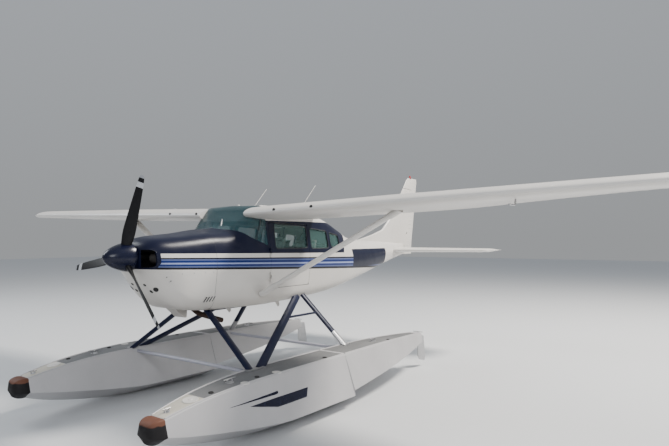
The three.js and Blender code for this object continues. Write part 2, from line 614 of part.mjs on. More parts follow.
const hornCut = (lift) => [[5000, HORN_Z[0] + lift + (6200 - 5000) * 0.1], [7600, HORN_Z[1] + lift],
  [7600, 2500], [5000, 2500]];
function makeFin() {
  const zs = [60, 560, 1000, HORN_Z[0] + 40];
  const blade = loft(zs.map((z) => {
    const s = finStation(z);
    const f = fractionAt(s, hingeY(z));
    return frontRing(s, f - (BLUNT * noseRadius(s, f)) / s.chord);
  }));
  const dorsal = loft([[4300, 150, 6], [5100, 285, 16], [5560, 395, 26], [5900, 640, 30]].map(
    ([y, top, half]) => [[-half, 40], [half, 40], [half * 0.5, top], [-half * 0.5, top]].map(
      ([x, z]) => v3([x, y, z]))));
  const tubeRoom = bar([-300, STAB_HINGE_Y, STAB_Z], [300, STAB_HINGE_Y, STAB_Z], 130, 130, 14);
  const coves = [[60, 560], [560, 1000], [1000, 1400]].map(([z0, z1]) => cove(rudderLine(z0, z1, RUN), 20));
  const seated = cut(join(blade, dorsal), clearOuter, tubeRoom, ...coves);
  return join(cut(seated, prismX(hornCut(0), -200, 200)), ...rudderLugs(false));
}
const LUGS = [330, 900];
const LUG_PIN_R = 9;
function rudderLugs(slot) {
  return LUGS.map((z) => {
    const y = hingeY(z);
    if (slot) return box(-60, 60, y - 80, y + 22, z - 24, z + 24);
    return box(-9, 9, y - 75, y - LUG_PIN_R - 11 * RUDDER_HINGE.slope - PIN_GAP, z - 11, z + 11);
  });
}
function makeRudder() {
  const zs = [RUDDER_FOOT_Z, 60, 560, 1000, 1500, FIN_TOP_Z];
  const stations = zs.map((z) => (z < 60 ? { ...finStation(60), origin: v3([0, 5620, z]) } : finStation(z)));
  const blade = loft(stations.map((s, i) => rearRing(s, fractionAt(s, hingeY(zs[i])))));
  const horn = common(loft([1150, 1500, FIN_TOP_Z].map((z) => frontRing(finStation(z)))),
    prismX(hornCut(HORN_GAP_Z), -200, 200));
  const hingePin = bar([0, hingeY(LUGS[0] - 60), LUGS[0] - 60], [0, hingeY(LUGS[1] + 60), LUGS[1] + 60],
    2 * LUG_PIN_R, 2 * LUG_PIN_R, 10);
  const { y, r, height } = BEACON;
  const beacon = bar([0, y, FIN_TOP_Z - 12], [0, y, FIN_TOP_Z + height], 2 * r, 2 * r, 12, 0.55);
  return join(cut(join(blade, horn), ...rudderLugs(true)), hingePin, beacon);
}

// Floats

// y, deck z, half width of the deck, chine z, half width at the chine, keel z
const FLOAT = [
  [-1800, -1575, 95, -1668, 112, -1705],
  [-1450, -1505, 130, -1745, 215, -1870],
  [-1000, -1442, 175, -1822, 295, -1990],
  [-400, -1402, 210, -1890, 355, -2070],
  [100, DECK_Z - 1, 225, -1925, 382, KEEL_Z],
  [300, DECK_Z, 225, -1927, 383, KEEL_Z],    // the level deck starts behind the struts' feet
  [FLOAT_STEP_Y, DECK_Z, 225, -1935, 385, KEEL_Z],
  [FLOAT_STEP_Y + 4, DECK_Z, 225, -1860, 380, -1985],
  [2500, -1395, 205, -1790, 320, -1890],
  [3500, -1425, 150, -1705, 220, -1775],
  [4360, -1465, 75, -1610, 100, -1640],
];
function floatRing(row, side) {
  const [y, deck, deckHalf, chine, chineHalf, keel] = row;
  const half = [[deckHalf - 22, deck + 4], [deckHalf, deck - 14], [chineHalf, chine],
    [KEEL_WIDTH / 2, keel]];
  return [...half, ...half.slice().reverse().map(([x, z]) => [-x, z])].map(
    ([x, z]) => v3([side * (FLOAT_X + x), y, z]));
}
function deckZ(y) {
  const i = FLOAT.findIndex((row) => row[0] > y) - 1;
  return mix(FLOAT[i][1], FLOAT[i + 1][1], (y - FLOAT[i][0]) / (FLOAT[i + 1][0] - FLOAT[i][0])) + 4;
}
// A cleat is a round bar over two feet that reach a little way into the deck.
function makeCleat(side, y) {
  const { length, r, height } = CLEATS;
  const x = side * FLOAT_X;
  const z = deckZ(y) + height;
  const feet = [y - CLEATS.feet, y + CLEATS.feet].map((at) => (
    box(x - r, x + r, at - 1.5 * r, at + 1.5 * r, z - 1.5 * height, z)));
  return join(bar([x, y - length / 2, z], [x, y + length / 2, z], 2 * r, 2 * r, 8), ...feet);
}
function makeFloat(side) {
  return join(loft(FLOAT.map((row) => floatRing(row, side))), ...CLEATS.ys.map((y) => makeCleat(side, y)));
}

// Bow bumper: a rubber nose that rounds off the front of the hull
function makeBumper(side) {
  const base = FLOAT[0].slice();
  const middle = (base[1] + base[5]) / 2;
  // y, share of the bow's section, lift of the section
  const rows = [[base[0] - GAP, 1, 0], [-1880, 0.9, 2], [-1935, 0.62, 6], [BOW_Y, 0.25, 10]];
  return loft(rows.map(([y, scale, lift]) => {
    return floatRing(base, side).map((p) => v3([
      side * FLOAT_X + (p.x - side * FLOAT_X) * scale, y, middle + (p.z - middle) * scale + lift]));
  }));
}

const wings = { 1: makeWing(1), [-1]: makeWing(-1) };
const floats = { 1: makeFloat(1), [-1]: makeFloat(-1) };

function makeWingStrut(side) {
  const { body, wing, chord, thick } = WING_STRUT;
  const [foot, head] = [v3(onSide(side, body)), v3(onSide(side, wing))];
  const at = (share) => foot.clone().lerp(head, share).toArray();
  const cuff = (from, to) => bar(at(from), at(to), chord + 2 * CUFF, thick + 2 * CUFF, 14);
  const tube = bar(at(0), at(1), chord, thick, 14);
  const clearWing = wingBay(side, 'flap', FLAP_X, GAP).bay;
  return cut(join(tube, cuff(0, 0.13), cuff(0.93, 1)), clearOuter, clearWing);
}
const PAD_Z = DECK_Z + 4 + GAP;
const overDeck = box(-FAR, FAR, -FAR, FAR, PAD_Z, FAR);
function floatStrut(side, from, to) {
  const tube = bar(onSide(side, FITTINGS[from]), onSide(side, FITTINGS[to]), STRUT.chord, STRUT.thick, 12);
  return common(cut(tube, clearOuter), overDeck);
}
function makeFloatStruts(side) {
  const front = floatStrut(side, 'frontBody', 'frontDeck');
  const diagonal = floatStrut(side, 'diagonalBody', 'diagonalDeck');
  const rear = floatStrut(side, 'rearBody', 'rearDeck');
  // The boarding bar leaves the rear strut and rests against the diagonal
  const at = (from, to) => {
    const [a, b] = [v3(onSide(side, FITTINGS[from])), v3(onSide(side, FITTINGS[to]))];
    return a.lerp(b, (STEP_BAR.z - a.z) / (b.z - a.z)).toArray();
  };
  const rearEnd = at('rearBody', 'rearDeck');
  const [x, y, z] = at('diagonalBody', 'diagonalDeck');
  const step = bar(rearEnd, [x, y, z], 2 * STEP_BAR.r, 2 * STEP_BAR.r, 10);
  const clearDiagonal = bar(onSide(side, FITTINGS.diagonalBody), onSide(side, FITTINGS.diagonalDeck),
    STRUT.chord + 2, STRUT.thick + 2, 12);
  return { front, diagonal, rear: join(rear, cut(step, clearDiagonal)) };
}
function makeSpreader(y) {
  const reach = FLOAT_X - 150;
  const tube = bar([-reach, y, DECK_Z - 45], [reach, y, DECK_Z - 45], 88, 46, 12);
  return cut(tube, ...[1, -1].map((side) => {
    const grownRows = FLOAT.map((row) => [row[0], row[1], row[2] + GAP, row[3], row[4] + GAP, row[5]]);
    return loft(grownRows.map((row) => floatRing(row, side)));
  }));
}

// Steering rudder at a float's stern, hung on a post
const WATER_RUDDER = { y: 4385, top: -1470, bottom: -2010, chord: 300, post: 13 };
function makeWaterRudder(side) {
  const { y, top, bottom, chord, post } = WATER_RUDDER;
  const x = side * FLOAT_X;
  const blade = prismX([[y + 12, top - 60], [y + chord * 0.75, top - 75], [y + chord, bottom + 90],
    [y + chord * 0.9, bottom], [y + 30, bottom + 60]], x - 6, x + 6, 25);
  const shaft = bar([x, y, top], [x, y, bottom + 120], 2 * post, 2 * post, 12);
  const web = box(x - 6, x + 6, y, y + 60, bottom + 130, top - 60);
  return join(blade, shaft, web);
}
// The transom's bracket holds the post just behind the stern
function sternBracket(side) {
  const x = side * FLOAT_X;
  const rear = WATER_RUDDER.y - WATER_RUDDER.post - PIN_GAP;
  return box(x - 30, x + 30, 4340, rear, -1600, -1500);
}

// Propeller and spinner

const HUB = { width: 130, ahead: 70 };

function makeSpinner() {
  const profile = [[0, 0], [40, 12], [85, 60], [125, 130], [158, 220], [SPINNER_R, 320],
    [SPINNER_R, SPINNER_REAR_Y - NOSE_Y], [70, SPINNER_REAR_Y - NOSE_Y], [70, SPINNER_REAR_Y - NOSE_Y - 60],
    [0, SPINNER_REAR_Y - NOSE_Y - 60]].map(([r, h]) => new THREE.Vector2(r, h));
  const geometry = new THREE.LatheGeometry(profile, 24);
  geometry.translate(0, NOSE_Y, 0);
  const hubRoom = bar([0, PROP_Y - HUB.ahead - 5, 0], [0, 0, 0], HUB.width + 2, HUB.width + 2, 18);
  return cut(solid(geometry), ...blades(2 * GAP), hubRoom);
}
// Blade stations: radius, chord, thickness, twist from the plane of rotation
const BLADE = [
  [60, 90, 90, 62], [190, 132, 66, 50], [330, 155, 42, 42], [480, 146, 28, 34], [640, 128, 20, 28],
  [800, 110, 15, 23], [920, 93, 11, 20], [1005, 72, 8, 18], [PROP_R, 38, 5, 17],
];
function bladeRing([radius, chord, thick, twist], grown = 0) {
  const ring = [];
  for (let i = 0; i < 12; i += 1) {
    const a = (i / 12) * 2 * Math.PI;
    const across = (chord / 2 + grown) * Math.cos(a);
    const through = (thick / 2 + grown) * Math.sin(a);
    ring.push(v3([across, through, radius - grown]).applyAxisAngle(v3([0, 0, 1]), rad(twist)));
  }
  return ring;
}
function blades(grown) {
  return BLADE_ANGLES.map((angle) => loft(BLADE.map((row) => bladeRing(row, grown).map((p) => p
    .applyAxisAngle(v3([0, 1, 0]), rad(angle)).add(v3([0, PROP_Y, 0]))))));
}
function makePropeller() {
  const hub = bar([0, PROP_Y - HUB.ahead, 0], [0, SHAFT_END_Y - PIN_GAP, 0], HUB.width, HUB.width, 18);
  return join(hub, ...blades(0));
}

// Cabin furniture

function makeSeat(x0, x1, y0, back) {
  const seatZ = -250;
  const cushion = prismX([[y0, seatZ - 110], [y0 + 470, seatZ - 110], [y0 + 590, back],
    [y0 + 500, back], [y0 + 385, seatZ], [y0, seatZ + 25]], x0, x1, 24);
  const [low, high] = [FLOOR_Z + GAP, seatZ - 100];
  const legs = [[x0 + 40, y0 + 70], [x1 - 40, y0 + 70], [x0 + 40, y0 + 400], [x1 - 40, y0 + 400]].map(
    ([x, y]) => box(x - 14, x + 14, y - 14, y + 14, low, high));
  return join(cushion, ...legs);
}
const SEATS = {
  seat_front_left: [60, 490, 1000, 270], seat_front_right: [-490, -60, 1000, 270],
  seat_mid_left: [50, 490, 1850, 230], seat_mid_right: [-490, -50, 1850, 230],
  seat_rear: [-380, 380, 2440, 130],
};
function makePanel() {
  const face = prismX([[560, -170], [600, -170], [640, 150], [640, 205], [330, 250], [330, 225],
    [585, 180], [585, 150]], -FAR, FAR);
  return common(face, hull(WALL + GAP));
}

// Exhaust pipe from the engine's underside out through the air outlet
function makeExhaust() {
  const path = new THREE.CatmullRomCurve3([[0, -420, -520 - GAP], [0, -420, -585], [2, -310, -640],
    [3, -130, -690], [4, 20, -785], [5, 250, -860], [6, 470, -925]].map(
    ([x, y, z]) => v3([EXHAUST_X + x, y, z])));
  const shape = new THREE.Shape().absarc(0, 0, EXHAUST_R, 0, 2 * Math.PI);
  const geometry = new THREE.ExtrudeGeometry(shape, { extrudePath: path, steps: 8, curveSegments: 5 });
  return solid(geometry);
}

// The assembly

const aircraft = new THREE.Group();
aircraft.position.set(0, -(BOW_Y + TAIL_Y) / 2, -KEEL_Z);
const exported = new THREE.Group();
exported.add(aircraft);

function place(name, shape, material) {
  const geometry = shape.isBufferGeometry ? shape : toGeometry(shape);
  const mesh = new THREE.Mesh(geometry, material);
  mesh.name = name;
  aircraft.add(mesh);
}

const cowls = makeCowls();
const exhaust = makeExhaust();
const cockpit = makeFront();
const sides = makeSides();
place('cowl_upper', cowls.upper, NAVY);
place('cowl_lower', cowls.lower, WHITE);
place('engine', makeEngine(), IRON);
place('exhaust_pipe', exhaust, IRON);
place('fuselage_front', cockpit, WHITE);
place('belly_pan', common(cabinShell, box(-FAR, FAR, DOOR_FRONT_Y + GAP, CABIN_REAR_Y - GAP,
  -FAR, SILL_Z)), WHITE);
place('cabin_side_left', sides.left, WHITE);
place('cabin_side_right', sides.right, WHITE);
const roofRegion = join(box(-FAR, FAR, GLASS_TOP_Y + GAP, CABIN_REAR_Y - GAP, 640 + GAP, FAR),
  box(-FAR, FAR, POST_Y + GAP, CABIN_REAR_Y - GAP, CANT_Z, FAR));
place('cabin_roof', cut(common(outer, roofRegion), common(roofCavity, slab(GLASS_TOP_Y + 80, FAR))), WHITE);
place('windshield', common(glassShell, prismX(WINDSHIELD.map(([y, z]) => [y, z + GAP]), -FAR, FAR)), GLASS);
place('tailcone', makeTailcone(), WHITE);
for (const name of Object.keys(WINDOWS)) place(name, windowPane(name), GLASS);
place('door_left', makeDoor('door_left', 1, DOOR_FRONT_Y, DOOR_REAR_Y), NAVY);
place('cargo_door_front', makeDoor('cargo_door_front', -1, CARGO_SPLIT[0], CARGO_SPLIT[1]), NAVY);
place('cargo_door_rear', makeDoor('cargo_door_rear', -1, CARGO_SPLIT[1], CARGO_SPLIT[2]), NAVY);
place('instrument_panel', makePanel(), TRIM);
for (const [name, [x0, x1, y0, back]] of Object.entries(SEATS)) {
  place(name, makeSeat(x0, x1, y0, back), CLOTH);
}
place('spinner', makeSpinner(), NAVY);
place('propeller', makePropeller(), BLACK);

for (const [side, label] of [[1, 'left'], [-1, 'right']]) {
  place(`wing_${label}`, wings[side], WHITE);
  place(`flap_${label}`, makeWingSurface(side, 'flap', FLAP_X), WHITE);
  place(`aileron_${label}`, makeWingSurface(side, 'aileron', AILERON_X), WHITE);
  place(`wing_strut_${label}`, makeWingStrut(side), WHITE);
  place(`antenna_${label}`, makeWhip(side), WHITE);
  place(`float_${label}`, join(floats[side], sternBracket(side)), GREY);
  place(`bumper_${label}`, makeBumper(side), RUBBER);
  const struts = makeFloatStruts(side);
  place(`float_strut_front_${label}`, struts.front, BLUE);
  place(`float_strut_diagonal_${label}`, struts.diagonal, BLUE);
  place(`float_strut_rear_${label}`, struts.rear, BLUE);
  place(`water_rudder_${label}`, makeWaterRudder(side), GREY);
}
place('stabilizer', makeStabilizer(), WHITE);
place('elevator', makeElevator(), WHITE);
place('fin', makeFin(), WHITE);
place('rudder', makeRudder(), WHITE);
place('spreader_bar_front', makeSpreader(SPREADER_Y[0]), GREY);
place('spreader_bar_rear', makeSpreader(SPREADER_Y[1]), GREY);

export default exported;
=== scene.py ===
# %% [markdown]
# # A six-seat floatplane
#
# This lesson dresses a floatplane: a high-wing aircraft with one piston engine, standing on two
# long floats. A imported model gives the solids, the moving bodies and the joints. The lesson
# makes the finished skins, the glass, the cushions, the small fittings and every finish.
# All the tables below use millimetres from two natural places of the aircraft: y = 0 is the
# firewall behind the engine and z = 0 is the propeller shaft. x grows to the aircraft's left,
# y towards its tail and z upwards. One function turns such a place into metres in the scene.

# %% Load the model
from math import cos, exp, hypot, pi, radians, sin, sqrt, tan

import bmesh
import bpy
from mathutils import Matrix, Vector


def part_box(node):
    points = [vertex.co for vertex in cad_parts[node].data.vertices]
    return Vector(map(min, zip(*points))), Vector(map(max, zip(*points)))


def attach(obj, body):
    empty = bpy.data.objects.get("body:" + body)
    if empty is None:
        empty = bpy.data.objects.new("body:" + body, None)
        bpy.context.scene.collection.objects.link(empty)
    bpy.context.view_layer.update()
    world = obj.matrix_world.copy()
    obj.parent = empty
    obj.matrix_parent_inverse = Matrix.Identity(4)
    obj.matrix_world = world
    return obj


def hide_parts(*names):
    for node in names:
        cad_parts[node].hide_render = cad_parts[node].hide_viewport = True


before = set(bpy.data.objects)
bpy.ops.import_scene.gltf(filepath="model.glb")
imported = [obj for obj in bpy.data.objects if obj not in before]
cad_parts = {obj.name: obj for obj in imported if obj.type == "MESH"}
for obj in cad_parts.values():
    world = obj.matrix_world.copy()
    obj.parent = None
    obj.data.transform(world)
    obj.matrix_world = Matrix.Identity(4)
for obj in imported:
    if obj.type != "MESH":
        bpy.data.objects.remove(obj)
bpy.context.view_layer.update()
collection = bpy.context.scene.collection
MM = 0.001
FRAME_SHIFT = Vector((0.0, -2.640, 2.100))
SIDES = ((1, "left"), (-1, "right"))


def at(x, y, z):
    """A place in millimetres from firewall and shaft, as metres in the scene."""
    return Vector((x, y, z)) * MM + FRAME_SHIFT


# %% [markdown]
# ## The camera
#
# The view is from ahead of the aircraft's left wing, with the eye a little above the propeller
# shaft. The camera here stands in that place and looks along the same line. It could be framed
# by eye, but solving it from known sizes keeps floats, wing and propeller in proportion.
# A small shift gives the photograph's framing, in which the aircraft sits left of the middle.

# %% Place the camera
IMAGE_WIDTH, IMAGE_HEIGHT = 669, 446
CAMERA_AT = Vector((5.6866, -8.1496, 2.317))
CAMERA_YAW, CAMERA_PITCH, CAMERA_ROLL = -41.18, -0.395, -0.251
FOCAL_PIXELS = 579.18
AXIS_PIXEL = (237.6, 242.8)

camera_data = bpy.data.cameras.new("camera")
camera_data.sensor_width = 36.0
camera_data.lens = FOCAL_PIXELS / IMAGE_WIDTH * camera_data.sensor_width
camera_data.shift_x = (IMAGE_WIDTH / 2 - AXIS_PIXEL[0]) / IMAGE_WIDTH
camera_data.shift_y = (AXIS_PIXEL[1] - IMAGE_HEIGHT / 2) / IMAGE_WIDTH
camera_data.clip_end = 300.0
camera = bpy.data.objects.new("camera", camera_data)
turn = (Matrix.Rotation(radians(-CAMERA_YAW), 4, "Z") @ Matrix.Rotation(radians(90 + CAMERA_PITCH), 4, "X")
        @ Matrix.Rotation(radians(CAMERA_ROLL), 4, "Z"))
camera.matrix_world = Matrix.Translation(CAMERA_AT) @ turn
collection.objects.link(camera)
bpy.context.scene.camera = camera
print("lens mm", round(camera_data.lens, 1))

# %% [markdown]
# ## Floor and light
#
# The floor is one pale plain sheet, and the light is that of a large soft studio: a pale dome, a
# strong key light high behind the wing, and two wide gentle ones in front. The key lights decks,
# wing tops and tail, and leaves the near sides in soft shade, so the forms stand out.

# %% Lay the floor
FLOOR_HALF = 60.0


def build_floor():
    mesh = bpy.data.meshes.new("floor")
    corners = [(-1, -1), (1, -1), (1, 1), (-1, 1)]
    mesh.from_pydata([(FLOOR_HALF * x, FLOOR_HALF * y, 0.0) for x, y in corners], [], [(0, 1, 2, 3)])
    floor = bpy.data.objects.new("floor", mesh)
    collection.objects.link(floor)
    pale = bpy.data.materials.new("pale floor")
    pale.use_nodes = True
    shader = pale.node_tree.nodes["Principled BSDF"]
    shader.inputs["Base Color"].default_value = (0.62, 0.63, 0.64, 1)
    shader.inputs["Roughness"].default_value = 0.75
    mesh.materials.append(pale)


build_floor()
print("floor m", 2 * FLOOR_HALF)

# %% Light the studio
DOME_STRENGTH = 0.52
DOME = ((0.0, (0.66, 0.68, 0.70, 1)), (0.6, (0.86, 0.92, 1.0, 1)))   # height and colour, floor and sky
LIGHTS = [  # name, place, target, width, watts, colour
    ("key", (9.0, 9.0, 17.0), (0.0, 0.0, 0.5), 5.0, 7500, (1.0, 0.95, 0.88)),
    ("front", (14.0, -13.0, 9.0), (0.0, -0.5, 1.0), 8.0, 1300, (0.95, 0.97, 1.0)),
    ("side", (-14.0, -6.0, 13.0), (0.0, 0.0, 1.2), 9.0, 1500, (0.92, 0.96, 1.0)),
]


def build_dome():
    world = bpy.data.worlds.new("studio")
    world.use_nodes = True
    tree = world.node_tree
    background = tree.nodes["Background"]
    where = tree.nodes.new("ShaderNodeTexCoord")
    split = tree.nodes.new("ShaderNodeSeparateXYZ")
    ramp = tree.nodes.new("ShaderNodeValToRGB")
    for element, (height, color) in zip(ramp.color_ramp.elements, DOME):
        element.position = height
        element.color = color
    tree.links.new(where.outputs["Generated"], split.inputs[0])
    tree.links.new(split.outputs["Z"], ramp.inputs["Fac"])
    tree.links.new(ramp.outputs["Color"], background.inputs["Color"])
    background.inputs["Strength"].default_value = DOME_STRENGTH
    bpy.context.scene.world = world


build_dome()
for name, place, target, width, watts, color in LIGHTS:
    data = bpy.data.lights.new(name, "AREA")
    data.shape = "DISK"
    data.size = width
    data.energy = watts
    data.color = color
    light = bpy.data.objects.new(name, data)
    light.location = place
    light.rotation_euler = (Vector(target) - Vector(place)).to_track_quat("-Z", "Y").to_euler()
    collection.objects.link(light)
print("lights", len(LIGHTS))

# %% [markdown]
# ## Finishes
#
# Real paint is never one flat colour. A finish here is a small tree of nodes: the place on the
# aircraft feeds a soft noise, the noise moves the colour and the gloss a little, and a second,
# finer noise gives a faint bump. Every node reads Object coordinates, which on this aircraft are
# metres from one fixed origin, so a pattern runs on from piece to piece without a seam.

# %% Tools for making finishes
SOCKETS = {"metallic": "Metallic", "coat": "Coat Weight", "alpha": "Alpha", "ior": "IOR",
           "sheen": "Sheen Weight", "specular": "Specular IOR Level"}


class Finish:
    """A material in the making: its tree, its shader and the place on the object."""

    def __init__(self, name):
        self.material = bpy.data.materials.new(name)
        self.material.use_nodes = True
        self.tree = self.material.node_tree
        self.shader = self.tree.nodes["Principled BSDF"]
        self.place = self.node("ShaderNodeTexCoord").outputs["Object"]

    def node(self, kind, **values):
        made = self.tree.nodes.new(kind)
        for key, value in values.items():
            setattr(made, key, value)
        return made

    def link(self, source, target):
        if isinstance(source, (int, float)):
            target.default_value = source
        else:
            self.tree.links.new(source, target)

    def sum(self, kind, *terms):
        made = self.node("ShaderNodeMath", operation=kind)
        for term, socket in zip(terms, made.inputs):
            self.link(term, socket)
        return made.outputs[0]

    def over(self, value, limit):
        return self.sum("GREATER_THAN", value, limit)

    def under(self, value, limit):
        return self.sum("LESS_THAN", value, limit)

    def all_of(self, first, *others):
        """One where every test holds, or the product of several shares."""
        for other in others:
            first = self.sum("MULTIPLY", first, other)
        return first

    def axes(self):
        split = self.node("ShaderNodeSeparateXYZ")
        self.link(self.place, split.inputs[0])
        return split.outputs

    def noise(self, scale, detail=3.0, stretch=(1, 1, 1)):
        mapping = self.node("ShaderNodeMapping")
        mapping.inputs["Scale"].default_value = stretch
        self.link(self.place, mapping.inputs["Vector"])
        made = self.node("ShaderNodeTexNoise")
        made.inputs["Scale"].default_value = scale
        made.inputs["Detail"].default_value = detail
        self.link(mapping.outputs[0], made.inputs["Vector"])
        return made.outputs["Fac"]

    def between(self, value, low, high, start=0.0, end=1.0):
        """A value that runs from start to end, brought to run from low to high."""
        made = self.node("ShaderNodeMapRange")
        for socket, source in (("Value", value), ("From Min", start), ("From Max", end),
                               ("To Min", low), ("To Max", high)):
            self.link(source, made.inputs[socket])
        return made.outputs[0]

    def mix(self, factor, first, second, kind="MIX"):
        made = self.node("ShaderNodeMix", data_type="RGBA", blend_type=kind)
        self.link(factor, made.inputs["Factor"])
        for socket, color in ((made.inputs["A"], first), (made.inputs["B"], second)):
            if isinstance(color, tuple):
                socket.default_value = (*color, 1)
            else:
                self.link(color, socket)
        return made.outputs["Result"]

    def bump(self, height, strength, distance=0.001):
        made = self.node("ShaderNodeBump")
        made.inputs["Strength"].default_value = strength
        made.inputs["Distance"].default_value = distance
        self.link(height, made.inputs["Height"])
        self.link(made.outputs[0], self.shader.inputs["Normal"])

    def done(self, color, roughness, **values):
        """Feeds colour and roughness to the shader, and sets its plain numbers on its own sockets."""
        self.link(color, self.shader.inputs["Base Color"])
        self.link(roughness, self.shader.inputs["Roughness"])
        for key, value in values.items():
            self.shader.inputs[SOCKETS[key]].default_value = value
        return self.material


def painted(name, color, roughness, mottle, scale, grain, bump, **values):
    """One colour of paint, rubber, cloth or metal with soft variation, uneven gloss and a fine grain."""
    made = Finish(name)
    darker = tuple(channel * (1 - 2 * mottle) for channel in color)
    lighter = tuple(min(1.0, channel * (1 + mottle)) for channel in color)
    made.bump(made.noise(grain, 2.0), bump)
    return made.done(made.mix(made.noise(scale, 4.0), darker, lighter),
                     made.between(made.noise(scale * 3), roughness * 0.8, roughness * 1.25), **values)


print("shader numbers", ", ".join(SOCKETS))

# %% [markdown]
# ## The paint scheme
#
# The body is white below and dark navy above, with a band of stripes between that runs level along
# the side and widens a little towards the tail. It could be painted with an image, but the band
# follows two straight lines, so the shader can work out how far down the band each point lies
# and read the stripe from a colour ramp. The nose bowl is navy down to the band's lower edge,
# and behind the cabin the navy above the band ends and the band itself turns into a plain dark panel.

# %% Paint the striped body
WHITE = (0.66, 0.635, 0.60)
NAVY = (0.005, 0.007, 0.024)
BLUE = (0.008, 0.022, 0.13)
BLACK = (0.006, 0.006, 0.010)
PERIWINKLE = (0.27, 0.32, 0.54)
STEEL_BLUE = (0.10, 0.13, 0.27)
BAND_TOP = (44, -1000, -1, 1700)       # height and y of two points on the band's upper edge
BAND_FOOT = (-147, -1000, -243, 1700)
BAND = [(0.0, WHITE), (0.26, BLACK), (0.35, STEEL_BLUE), (0.43, BLUE), (0.563, PERIWINKLE), (0.665, BLUE),
        (0.785, STEEL_BLUE), (0.867, BLACK), (1.0, WHITE)]
NOSE_BAND_Y, NOSE_BAND_LEAN = -862, 0.6   # stripes start behind the nose bowl, on a slant
NOSE_BAND_Z = -70                      # the slant begins below this height
CABIN_BAND_Y, CABIN_BAND_LEAN = 3230, 0.55   # the navy above the band ends here, on a slant
PANEL_Y = (3600, 5270)                 # the dark panel on the tail
PANEL_TOP = (24, 3600, 18, 5270)
PANEL_FOOT = (-297, 3600, -297, 5270)
# The belly's darkening is painted shade and warm reflection mixed with real oil and soot
SOOT_AND_SHADE_Z = (-420, -760)                  # the belly darkens from the first height to the second
SOOT_AND_SHADE, DUST = (0.33, 0.27, 0.21), (0.62, 0.60, 0.58)


def stripes(made, depth):
    """The band's colours by how far down it a point lies, from 0 at its top to 1 at its foot."""
    low, high = -0.5, 1.5
    node = made.node("ShaderNodeValToRGB")
    ramp = node.color_ramp
    ramp.interpolation = "CONSTANT"
    ramp.elements[0].color = (*NAVY, 1)
    ramp.elements[0].position = 0.0
    for n, (share, color) in enumerate(BAND):
        place = (share - low) / (high - low)
        element = ramp.elements.new(place) if n else ramp.elements[1]
        element.position = place
        element.color = (*color, 1)
    made.link(made.between(depth, 0.0, 1.0, low, high), node.inputs["Fac"])
    return node.outputs["Color"]


def body_paint():
    made = Finish("striped body paint")
    x, y, z = made.axes()
    y_mm = made.sum("MULTIPLY_ADD", y, 1 / MM, -FRAME_SHIFT.y / MM)
    z_mm = made.sum("MULTIPLY_ADD", z, 1 / MM, -FRAME_SHIFT.z / MM)

    def edge(points):
        z0, y0, z1, y1 = points
        slope = (z1 - z0) / (y1 - y0)
        return made.sum("MULTIPLY_ADD", y_mm, slope, z0 - slope * y0)

    top, foot = edge(BAND_TOP), edge(BAND_FOOT)
    depth = made.sum("DIVIDE", made.sum("SUBTRACT", top, z_mm), made.sum("SUBTRACT", top, foot))
    cabin_end = made.sum("MULTIPLY_ADD", z_mm, CABIN_BAND_LEAN, CABIN_BAND_Y)
    past_cabin = made.all_of(made.under(depth, 0.0), made.over(y_mm, cabin_end))
    color = made.mix(past_cabin, stripes(made, depth), WHITE)
    below = made.sum("MINIMUM", made.sum("SUBTRACT", z_mm, NOSE_BAND_Z), 0.0)
    nose_end = made.sum("MULTIPLY_ADD", below, NOSE_BAND_LEAN, NOSE_BAND_Y)
    color = made.mix(made.all_of(made.under(y_mm, nose_end), made.under(depth, 1.0)), color, NAVY)
    behind_panel = made.all_of(made.over(depth, 0.0), made.under(depth, 1.0), made.over(y_mm, PANEL_Y[1]))
    color = made.mix(behind_panel, color, WHITE)
    in_panel = made.all_of(made.over(y_mm, PANEL_Y[0]), made.under(y_mm, PANEL_Y[1]),
                           made.under(z_mm, edge(PANEL_TOP)), made.over(z_mm, edge(PANEL_FOOT)))
    color = made.mix(in_panel, color, NAVY)
    # The belly is painted darker and warmer towards the bottom: painted shade and warm reflection, with some
    # oil and soot. Old paint is a little uneven
    belly_streaks = made.noise(3.0, 6.0, (1.0, 0.25, 1.0))
    soot_and_shade = made.all_of(belly_streaks, made.between(z_mm, 0.0, 1.0, *SOOT_AND_SHADE_Z), 0.55)
    color = made.mix(soot_and_shade, color, SOOT_AND_SHADE, "MULTIPLY")
    color = made.mix(made.all_of(made.noise(1.7, 5.0), 0.16), color, DUST, "MULTIPLY")
    made.bump(made.noise(5.0, 2.0), 0.12, 0.004)
    return made.done(color, made.between(made.noise(6.0), 0.26, 0.44), specular=0.22)


BODY_PAINT = body_paint()
print("stripes", len(BAND))

# %% Mix the plain finishes
# Name, colour, roughness, how mottled, scale of the clouds, scale of the grain, depth of the grain
WHITE_PAINT = painted("white wing paint", WHITE, 0.36, 0.06, 1.6, 7.0, 0.10, coat=0.1)
NAVY_PAINT = painted("navy gloss paint", NAVY, 0.26, 0.10, 3.0, 9.0, 0.05, coat=0.05, specular=0.3)
STRUT_PAINT = painted("navy strut paint", (0.006, 0.009, 0.034), 0.34, 0.15, 5.0, 60.0, 0.06, specular=0.25)
FLOAT_PAINT = painted("light grey float paint", (0.47, 0.46, 0.465), 0.40, 0.08, 2.2, 8.0, 0.14, coat=0.05)
METAL = painted("dull aluminium", (0.52, 0.52, 0.53), 0.38, 0.12, 9.0, 120.0, 0.1, metallic=0.9)
DARK_METAL = painted("dark engine metal", (0.035, 0.034, 0.034), 0.5, 0.2, 14.0, 90.0, 0.25, metallic=0.5)
EXHAUST_METAL = painted("heat-browned steel", (0.055, 0.032, 0.024), 0.55, 0.35, 18.0, 90.0, 0.3,
                        metallic=0.7)
RUBBER = painted("black rubber", (0.012, 0.011, 0.011), 0.62, 0.2, 8.0, 220.0, 0.3)
GASKET = painted("window sealing strip", (0.016, 0.018, 0.024), 0.45, 0.2, 20.0, 200.0, 0.2)
